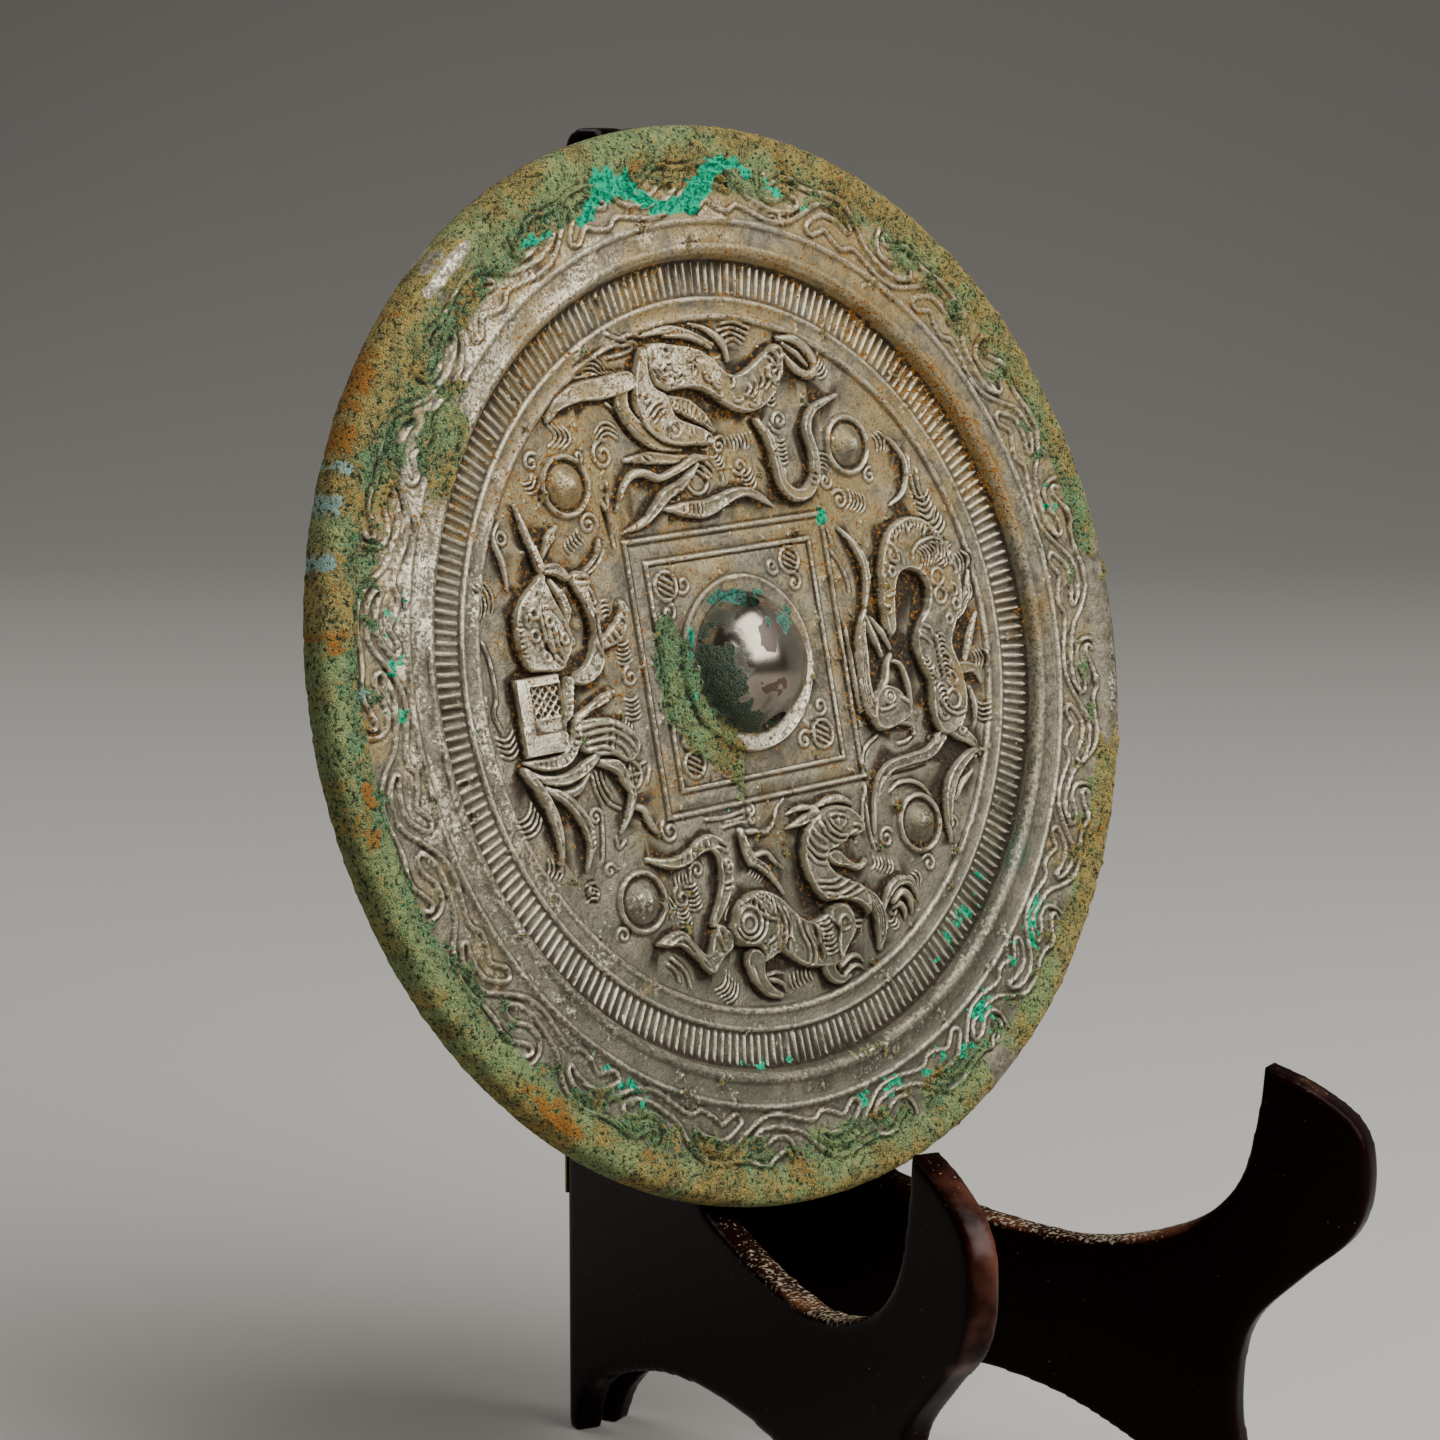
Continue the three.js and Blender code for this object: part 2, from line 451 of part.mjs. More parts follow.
function boardOutline() {
  const vectors = (points) => points.map(([s, z]) => new THREE.Vector2(s, z));
  const shape = new THREE.Shape();
  shape.moveTo(0, 0);
  shape.lineTo(footHeel, 0);
  shape.splineThru(vectors([[6.5, 7], [13, 13], [27, 18.6], [46, 23.6], [70, 25.4], [94, 22.6], [112, 15.6],
    [123, 8], [footToe[0], 0]]));
  shape.lineTo(footToe[1], 0);
  shape.splineThru(vectors([[135.2, 14], [133.4, 26], [135.8, 39.4], [145.2, 49.6], [154.6, 58.4], [157.6, 68],
    [155.6, 78], [147, 84.2], hookTip]));
  shape.splineThru(vectors([[136.2, 77], [132.6, 65], [123, 56.6], [105, 51.4], [86, 52.6], [66, 57], seat]));
  shape.quadraticCurveTo(uprightFront(60), 60, uprightFront(64), 64);
  shape.lineTo(uprightFront(246), 246);
  shape.quadraticCurveTo(uprightFront(uprightTop), uprightTop, 14, uprightTop);
  shape.lineTo(8, uprightTop);
  shape.quadraticCurveTo(0, uprightTop, 0, 243);
  shape.lineTo(0, 0);
  return shape;
}

// A board lies along -Y from the spine with its inner face on x = spineGap, then swings out to its side.
function board(side) {
  const slab = new THREE.ExtrudeGeometry(boardOutline(), {
    depth: boardThickness - boardBevel * 2, curveSegments: 2, bevelEnabled: true,
    bevelThickness: boardBevel, bevelSize: boardBevel, bevelOffset: -boardBevel, bevelSegments: 1,
  });
  const acrossX = boardThickness - boardBevel;
  slab.applyMatrix4(new THREE.Matrix4().set(0, 0, -1, acrossX, -1, 0, 0, 0, 0, 1, 0, 0, 0, 0, 0, 1));
  let solid = solidOf(slab);
  for (const height of hingeHeights) {
    for (const nail of nailPlaces(height)) {
      solid = solid.subtract(nailHole(nail));
    }
  }
  return onSide(solid, side);
}

// Swings a solid that is drawn for the right board out to the right (1) or the left (-1).
function onSide(solid, side) {
  const swung = solid.translate([spineGap, 0, 0]).rotate([0, 0, halfSpread]);
  return side > 0 ? swung : swung.mirror([1, 0, 0]);
}

// ---- the hinges, on the back edges of the boards ----
const pinBehindSpine = 2.2;
const nailX = boardThickness / 2 + 0.6;
const nailPlaces = (height) => [-nailSpread / 2, nailSpread / 2].map((dz) => [nailX, height + dz]);

function nailHole([x, z]) {
  return solidOf(new THREE.CylinderGeometry(nailHoleRadius, nailHoleRadius, nailLength + 2, 6)
    .translate(x, 1 - nailLength / 2, z));
}

// A round-headed nail through a leaf into the back edge of a board.
function nail([x, z]) {
  const headY = leafGap * 2 + leafThickness;
  const geometry = new THREE.LatheGeometry([
    [0, headY - nailLength], [nailShankRadius, headY - nailLength], [nailShankRadius, headY],
    [1.25, headY], [0, headY + 0.7],
  ].map(([r, y]) => new THREE.Vector2(r, y)), 6);
  return solidOf(geometry.translate(x, 0, z));
}

// A leaf with its knuckles. The two side knuckles are on the left leaf and the middle one on the right.
function leaf(height, side) {
  const third = hingeLength / 3;
  const tall = third - 0.3;
  const middles = side > 0 ? [0] : [-third, third];
  let solid = box(leafWidth, leafThickness, hingeLength, leafWidth / 2 + 0.9, leafGap + leafThickness / 2, height);
  if (side > 0) {
    for (const dz of [-third, third]) {
      solid = solid.subtract(box(3.2, 4, third + 0.4, 0.9, leafGap, height + dz));
    }
  } else {
    solid = solid.subtract(box(3.2, 4, third + 0.4, 0.9, leafGap, height));
  }
  for (const dz of middles) {
    solid = solid.add(knuckle(height + dz, tall));
    solid = solid.add(box(1.8, leafThickness, tall, 1.1, leafGap + leafThickness / 2, height + dz));
  }
  solid = solid.subtract(knuckleBore(height));
  for (const place of nailPlaces(height)) solid = solid.subtract(nailHole(place));
  return onSide(solid, side);
}

// The pin's centre is on the middle plane, so it is found on each drawn board by turning it back.
function pinCentre() {
  const away = new THREE.Vector2(0, pinBehindSpine).rotateAround(new THREE.Vector2(), -rad(halfSpread));
  return [away.x - spineGap, away.y];
}

function upright(radius, height, middle) {
  const [x, y] = pinCentre();
  return solidOf(new THREE.CylinderGeometry(radius, radius, height, 8).rotateX(Math.PI / 2)
    .translate(x, y, middle));
}
const knuckle = (middle, tall) => upright(knuckleRadius, tall, middle);
const knuckleBore = (middle) => upright(pinBoreRadius, hingeLength + 2, middle);
const pin = (middle) => upright(pinRadius, hingeLength, middle).translate([spineGap, 0, 0])
  .rotate([0, 0, halfSpread]);

// ---- the whole object ----
const mirrorOnStand = new THREE.Group();

const leaning = new THREE.Group();
const mirrorMesh = meshOf('mirror', mirror(), bronze);
mirrorMesh.rotation.set(rad(90 - leanBack), 0, rad(turnInStand), 'XYZ');
leaning.add(mirrorMesh);
leaning.position.set(0, 0, mirrorCentreHeight);
mirrorOnStand.add(leaning);

const stand = new THREE.Group();
stand.position.set(0, spineBehindMirror, 0);
for (const [sideName, side] of [['left', -1], ['right', 1]]) {
  stand.add(meshOf(`stand_board_${sideName}`, board(side), lacqueredWood));
  for (const [level, height] of [['lower', hingeHeights[0]], ['upper', hingeHeights[1]]]) {
    stand.add(meshOf(`hinge_leaf_${level}_${sideName}`, leaf(height, side), brass));
    nailPlaces(height).forEach((place, i) => {
      const name = `hinge_nail_${level}_${sideName}_${i + 1}`;
      stand.add(meshOf(name, onSide(nail(place), side), brass));
    });
  }
}
for (const [level, height] of [['lower', hingeHeights[0]], ['upper', hingeHeights[1]]]) {
  stand.add(meshOf(`hinge_pin_${level}`, pin(height), brass));
}
mirrorOnStand.add(stand);

// The underside's middle becomes the origin.
mirrorOnStand.updateMatrixWorld(true);
const extent = new THREE.Box3().setFromObject(mirrorOnStand, true);
const middle = extent.getCenter(new THREE.Vector3());
mirrorOnStand.position.set(-middle.x, -middle.y, -extent.min.z);

export default mirrorOnStand;
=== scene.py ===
# %% [markdown]
# # A bronze mirror on its folding stand
# A large cast mirror leans in a stand of two lacquered boards, hinged along a spine behind it. Its decorated
# side shows: a domed knob in a square, four beasts, a comb of small teeth and a rim of cloud scrolls, under
# crusts of green, ochre and turquoise, earth and painted shade in the hollows, and wear and a painted glint
# on the ridges.
# The frame gives every position: the mirror's disc, the two boards, and the brass of the hinge.

import json
import math

import bpy
import numpy as np
from mathutils import Matrix, Vector


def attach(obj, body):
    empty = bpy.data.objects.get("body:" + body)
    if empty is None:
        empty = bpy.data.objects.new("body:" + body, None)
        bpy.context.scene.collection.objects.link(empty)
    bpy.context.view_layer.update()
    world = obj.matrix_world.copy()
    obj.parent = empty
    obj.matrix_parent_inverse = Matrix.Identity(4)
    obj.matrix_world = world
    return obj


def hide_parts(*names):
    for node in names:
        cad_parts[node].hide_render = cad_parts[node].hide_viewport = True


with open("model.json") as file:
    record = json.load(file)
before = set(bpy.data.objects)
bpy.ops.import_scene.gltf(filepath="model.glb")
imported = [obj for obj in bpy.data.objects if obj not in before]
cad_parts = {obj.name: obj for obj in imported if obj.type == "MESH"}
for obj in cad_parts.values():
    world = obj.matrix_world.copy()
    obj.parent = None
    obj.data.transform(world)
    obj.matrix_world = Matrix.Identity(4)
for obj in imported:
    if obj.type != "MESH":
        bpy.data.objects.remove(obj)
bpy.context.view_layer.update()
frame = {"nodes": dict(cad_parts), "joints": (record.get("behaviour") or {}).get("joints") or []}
MM = 0.001
bpy.ops.object.select_all(action="DESELECT")

# %% [markdown]
# ## The canvas of the relief
# The caster's mould was cut and stamped in clay, and bronze filled it, so the relief is one height above
# the disc at each place. It could be sculpted, or built from hundreds of small solids. Here a canvas of
# heights in mm holds it, seen square on, and a few brushes paint it as the carver's tools did. That keeps
# it one casting, and the same canvas later says where crust, earth and wear lie.

# %% An empty canvas
CELL, REACH = 0.2, 100.0                      # mm
SIDE = int(round(2 * REACH / CELL)) + 1
AXIS = np.linspace(-REACH, REACH, SIDE)
GX, GY = np.meshgrid(AXIS, AXIS)
R = np.hypot(GX, GY)
TURN = np.degrees(np.arctan2(GY, GX))
relief = np.zeros((SIDE, SIDE))
print("canvas:", relief.shape, "cells")


# %% Curves to paint along
def window(left, right, low, high):
    """The part of the canvas between these limits, and its x and y."""
    c0, c1 = np.searchsorted(AXIS, [left, right])
    r0, r1 = np.searchsorted(AXIS, [low, high])
    rows, cols = slice(r0, r1), slice(c0, c1)
    return (rows, cols), AXIS[cols][None, :], AXIS[rows][:, None]


def smooth_way(points, step=0.5, closed=False):
    """A smooth curve through a few points, with a corner about every step mm."""
    p = np.array(points, float)
    if closed:
        ends = np.vstack([p[-1:], p, p[:2]])
    elif len(p) == 2:
        n = max(int(np.hypot(*(p[1] - p[0])) / step), 1) + 1
        return np.linspace(p[0], p[1], n)
    else:
        ends = np.vstack([2 * p[0] - p[1], p, 2 * p[-1] - p[-2]])
    out = []
    for a, b, c, d in zip(ends, ends[1:], ends[2:], ends[3:]):
        n = max(int(np.hypot(*(c - b)) / step), 2)
        t = np.linspace(0, 1, n, endpoint=False)[:, None]
        out.append(0.5 * (2 * b + (c - a) * t + (2 * a - 5 * b + 4 * c - d) * t ** 2
                          + (3 * b - a - 3 * c + d) * t ** 3))
    return np.vstack(out + [p[:1] if closed else p[-1:]])


def along(way, x, y):
    """For each cell: distance to the curve, the side of it, length run along it, and the curve's length."""
    x, y = np.broadcast_arrays(x, y)
    best, side, run = np.full(x.shape, 1e9), np.zeros(x.shape), np.zeros(x.shape)
    done = 0.0
    for (ax, ay), (bx, by) in zip(way, way[1:]):
        dx, dy = bx - ax, by - ay
        length = np.hypot(dx, dy) + 1e-9
        t = np.clip(((x - ax) * dx + (y - ay) * dy) / length ** 2, 0, 1)
        ex, ey = x - ax - t * dx, y - ay - t * dy
        dist = np.hypot(ex, ey)
        near = dist < best
        best[near] = dist[near]
        side[near] = np.sign(dx * ey - dy * ex)[near]
        run[near] = (done + t * length)[near]
        done += length
    return best, side, run, done


def evenly(values, share):
    """Values spread evenly from a curve's start to its end, read at a share of it."""
    return np.interp(share, np.linspace(0, 1, len(values)), values)


print("a curve through 3 points has", len(smooth_way([(0, 0), (5, 2), (9, 0)])), "corners")

# %% [markdown]
# ## The brushes
# A thread is a thin raised line with a groove beside it. A limb is a flat-topped form with steep walls and
# a bead along its edge, which follows a curve. A plate is the same with a closed outline. A ring, an arc, a
# curl and a tuft of hairs fill them and the gaps between. The steep walls matter most, because they stay
# dark while the beads catch the light.

# %% Thread, limb and plate
WALL, BEAD_IN, BEAD_WIDTH = 0.15, 0.42, 0.22      # mm: slope of a wall, place and width of the bead inside it


def thread(way, width=0.28, high=0.5, carve=0.2):
    """A thin raised line over whatever lies below it, fading at its ends."""
    path = smooth_way(way, 0.35)
    pad = width * 3 + 0.4
    low, top = path.min(0) - pad, path.max(0) + pad
    cells, x, y = window(low[0], top[0], low[1], top[1])
    dist, _, run, length = along(path, x, y)
    fade = np.clip(np.minimum(run, length - run) / 0.9 + 0.25, 0, 1)
    relief[cells] += fade * (high * np.exp(-(dist / width) ** 2)
                             - carve * np.exp(-((dist - 2.2 * width) / width) ** 2))


def skin_marks(skin, run, share):
    """Height of the marks on a limb in mm, from the length run and the share of its half width."""
    if skin == "feathers":
        return -0.36 * np.exp(-((np.mod(share * 2.5 + 0.5, 1) - 0.5) / 0.16) ** 2)
    if skin == "bars":
        return -0.34 * np.exp(-((np.mod(run / 1.15, 1) - 0.5) / 0.2) ** 2) * (np.abs(share) < 0.75)
    return 0 * run


def limb(way, wide, high, skin="plain", bead=0.28):
    """A raised form along a curve. Its half widths and heights run from its start to its end."""
    path = smooth_way(way, 0.6)
    pad = max(wide) + 1.4
    low, top = path.min(0) - pad, path.max(0) + pad
    cells, x, y = window(low[0], top[0], low[1], top[1])
    dist, side, run, length = along(path, x, y)
    half = evenly(wide, run / length)
    within = half - dist
    body = evenly(high, run / length) * (1 - np.exp(-np.clip(within, 0, None) / WALL))
    ends = np.clip(np.minimum(run, length - run) / 0.8, 0, 1)
    marks = skin_marks(skin, run, side * dist / half) * ends * np.clip((within - 0.3) / 0.3, 0, 1)
    marks = marks + bead * np.exp(-((within - BEAD_IN) / BEAD_WIDTH) ** 2) * (half > 0.9)
    relief[cells] = np.where(within > 0, np.maximum(relief[cells], body + marks), relief[cells])


def plate(corners, high, dome=0.2, bead=0.28):
    """A raised form with a smooth closed outline, steep walls, a bead along its edge and a slight dome."""
    closed = smooth_way(corners, closed=True)
    low, top = closed.min(0) - 1, closed.max(0) + 1
    cells, x, y = window(low[0], top[0], low[1], top[1])
    dist = along(closed, x, y)[0]
    inside = np.zeros(dist.shape, bool)
    for (ax, ay), (bx, by) in zip(closed, closed[1:]):
        if ay != by:
            inside ^= ((y > ay) != (y > by)) & (x < ax + (y - ay) * (bx - ax) / (by - ay))
    body = high * (1 - np.exp(-dist / WALL)) + dome * np.clip(dist / 2.5, 0, 1)
    body = body + bead * np.exp(-((dist - BEAD_IN) / BEAD_WIDTH) ** 2)
    relief[cells] = np.where(inside, np.maximum(relief[cells], body), relief[cells])


print("brushes: thread, limb, plate")


# %% Ring, arc, curl and tuft
def ring(x0, y0, radius, high=0.5, width=0.28):
    cells, x, y = window(x0 - radius - 1.5, x0 + radius + 1.5, y0 - radius - 1.5, y0 + radius + 1.5)
    away = np.hypot(x - x0, y - y0) - radius
    relief[cells] += high * np.exp(-(away / width) ** 2) - 0.12 * np.exp(-((np.abs(away) - 0.6) / 0.25) ** 2)


def arc(x0, y0, radius, start, end):
    """Part of a ring, from one angle to another in degrees."""
    angles = np.radians(np.linspace(start, end, 6))
    thread([(x0 + radius * np.cos(a), y0 + radius * np.sin(a)) for a in angles], 0.27, 0.46, 0.24)


def curl(x0, y0, radius, start, turns):
    """A line that winds in to a point. Start is the angle of its outer end in degrees."""
    share = np.linspace(0, 1, 9 + int(abs(turns) * 8))
    angle = np.radians(start + 360 * turns * share)
    r = radius * (1 - 0.86 * share ** 0.8)
    thread([(x0 + a * np.cos(t), y0 + a * np.sin(t)) for a, t in zip(r, angle)], 0.29, 0.48, 0.16)


def tuft(x0, y0, heading, count=5, length=4.0, gap=1.0, bend=0.3):
    """Short hairs side by side along a heading, each a slight arc across it, like wisps behind a cloud."""
    ux, uy = np.cos(np.radians(heading)), np.sin(np.radians(heading))
    for i in range(count):
        cx, cy = x0 + ux * gap * i, y0 + uy * gap * i
        way = []
        for t in np.linspace(-1, 1, 5):
            sag, across = -bend * length * (t * t - 0.5), length / 2 * t
            way.append((cx - uy * across + ux * sag, cy + ux * across + uy * sag))
        thread(way, 0.22, 0.4, 0.16)


print("brushes: ring, arc, curl, tuft")

# %% [markdown]
# ## The turned ground
# The field is the lowest level. Round it come a narrow ring, the comb in its groove, the slope up to the
# raised band and the rounded rim. All of it was turned in the mould, so one profile makes it.

# %% Profile, from the centre outwards
RIM_TOP, RIM_RADIUS = 3.15, 99.2             # mm
PROFILE = [(0, 0), (62.6, 0), (63.1, 0.1), (63.6, 0.85), (64.3, 0.95), (64.7, 0.6), (66.7, 0.55), (67.0, 0.9),
           (67.5, 0.8), (67.9, 0.1), (73.5, 0.35), (74.0, 0.6), (75.3, 3.1), (75.9, 3.6), (76.6, 3.75),
           (77.2, RIM_TOP), (80.0, 3.1), (80.6, 3.2), (81.0, 3.75), (81.6, 3.75), (82.1, RIM_TOP),
           (91.6, RIM_TOP), (92.6, 3.5), (94.2, 3.95), (96.4, 4.0), (97.9, 3.5), (98.6, 2.7),
           (RIM_RADIUS, 1.6), (150, 1.0)]
relief[:] = np.interp(R, [p[0] for p in PROFILE], [p[1] for p in PROFILE])
print("rim stands", relief[R < RIM_RADIUS].max(), "mm above the field")

# %% Comb of small teeth
TEETH, TOOTH_HIGH = 245, 0.62
COMB_INNER, COMB_OUTER = 67.9, 74.2          # mm
tooth = np.mod(TURN / 360 * TEETH, 1) - 0.5
comb_band = np.clip((R - COMB_INNER) / 0.5, 0, 1) * np.clip((COMB_OUTER - R) / 0.6, 0, 1)
relief += comb_band * TOOTH_HIGH * np.exp(-(tooth / 0.2) ** 2)
print("a tooth every", round(math.pi * (COMB_INNER + COMB_OUTER) / TEETH, 2), "mm")

# %% [markdown]
# ## Cloud scrolls
# One wave of cloud, of four lines, repeats eighteen times round the band. Its lines are given as shares of
# the way to the next wave and as radii, so that they bend with the rim.

# %% The band of clouds
WAVES, FIRST_WAVE = 18, 212.5             # count, and where the first starts in degrees
WAVE_STEP, CLOSE_STEP = 20.6, 17.0        # degrees from one wave to the next, and where they are close
FIRST_CLOSE, CLOSE_COUNT = 11, 3          # which waves are close
CLOUD = [
    [(0.33, 86.7), (0.22, 87.7), (0.1, 87.7), (0.02, 86.0), (-0.03, 84.0), (0.02, 82.9), (0.08, 84.0),
     (0.13, 85.0), (0.2, 83.9), (0.3, 83.2), (0.38, 84.5), (0.5, 83.7), (0.66, 82.7), (0.8, 83.4),
     (0.93, 86.2), (1.03, 89.0), (1.14, 90.0), (1.26, 89.4), (1.33, 87.6), (1.3, 86.7)],
    [(-0.28, 91.6), (-0.2, 92.0), (-0.12, 91.1), (0.0, 91.2), (0.12, 92.0), (0.25, 91.6), (0.36, 89.4),
     (0.46, 86.6), (0.58, 85.4), (0.7, 84.9), (0.82, 85.6), (0.9, 87.2)],
    [(0.62, 91.6), (0.585, 90.2), (0.62, 89.3), (0.68, 90.2), (0.75, 91.4), (0.84, 91.7)],
    [(0.55, 91.8), (0.55, 89.0), (0.6, 87.0), (0.7, 86.9), (0.78, 88.3), (0.86, 88.6), (0.88, 87.2),
     (0.8, 86.3)],
]


def wave_start(i):
    """Where a wave starts, in degrees. A few of them were spaced a little closer."""
    close_ones = np.clip(i - FIRST_CLOSE, 0, CLOSE_COUNT)
    return FIRST_WAVE - WAVE_STEP * (i - close_ones) - CLOSE_STEP * close_ones


for i in range(WAVES):
    start = wave_start(i)
    end = wave_start(i + 1) if i < WAVES - 1 else FIRST_WAVE - 360
    for line in CLOUD:
        angles = [math.radians(start + (end - start) * share) for share, _ in line]
        thread([(r * math.cos(a), r * math.sin(a)) for a, (_, r) in zip(angles, line)], 0.34, 0.6, 0.16)
print(WAVES, "waves of", len(CLOUD), "lines")

# %% [markdown]
# ## Knob, square and bosses
# A silk cord ran through the domed knob. A square of two raised lines frames it, with a curled leaf in each
# corner, and four small cones in rings stand between the beasts.

# %% Square, knob and bosses
KNOB_RADIUS, KNOB_HEIGHT = 12.4, 9.8                  # mm
SQUARE_HALVES = (25.0, 20.7)                          # half the side of each of its two lines
BOSSES = [(-37, 36.5), (34.5, 37), (37.5, -36), (-35, -38.5)]
BOSS_HEIGHT, BOSS_RADIUS = 3.1, 4.3
LIP_HEIGHT, LIP_RADIUS = 1.15, 5.3
for half in SQUARE_HALVES:
    cells, x, y = window(-half - 2, half + 2, -half - 2, half + 2)
    edge = np.abs(np.maximum(np.abs(x), np.abs(y)) - half)
    relief[cells] += 0.55 * np.exp(-(edge / 0.3) ** 2) - 0.25 * np.exp(-((edge - 0.75) / 0.3) ** 2)
cells, x, y = window(-20, 20, -20, 20)
r = np.hypot(x, y)
dome = KNOB_HEIGHT * np.sqrt(np.clip(1 - (r / KNOB_RADIUS) ** 2, 0, 1))
collar = np.interp(r, [KNOB_RADIUS, 13, 15.2, 16.0, 16.6], [0.25, 0.45, 0.55, 0.95, 0])
relief[cells] = np.maximum(relief[cells], np.maximum(dome, collar))
for bx, by in BOSSES:
    cells, x, y = window(bx - 8, bx + 8, by - 8, by + 8)
    r = np.hypot(x - bx, y - by)
    cone = BOSS_HEIGHT * np.clip(1 - r / BOSS_RADIUS, 0, 1) ** 0.85
    lip = LIP_HEIGHT * np.exp(-((r - LIP_RADIUS) / 0.5) ** 2)
    relief[cells] = np.maximum(relief[cells] * (r > 5), np.maximum(cone, lip))
print("knob", KNOB_HEIGHT, "mm high")

# %% Leaves in the corners of the square
LEAVES = [  # centre, radius, then its curls
    (-16.8, 16.2, 2.6, [(-12.6, 16.0, 1.9, 210, 1.2), (-17.3, 11.4, 2.0, 60, -1.2)]),
    (14.9, 17.4, 2.4, [(10.3, 16.8, 1.8, -30, -1.2), (15.3, 13.0, 2.0, 100, -1.2)]),
    (16.3, -15.6, 2.6, [(16.7, -10.4, 1.9, 240, 1.2), (11.4, -16.2, 2.0, 40, 1.2)]),
    (-16.8, -16.4, 2.4, [(-17.6, -11.8, 1.8, -60, -1.2)]),
]
for cx, cy, leaf, curls in LEAVES:
    ring(cx, cy, leaf, 0.5)
    for k in (-0.5, 0, 0.5):
        thread([(cx - leaf * 0.7, cy + leaf * (k + 0.4)), (cx + leaf * 0.7, cy + leaf * (k - 0.4))], 0.2, 0.4)
    for place in curls:
        curl(*place)
print(len(LEAVES), "leaves")

# %% [markdown]
# ## The four beasts
# Each beast is a few plates and limbs, with rings for its spots and eyes and threads for folds, whiskers and
# feathers. A limb is given by its way, half widths, heights and skin; the numbers are mm from the centre.

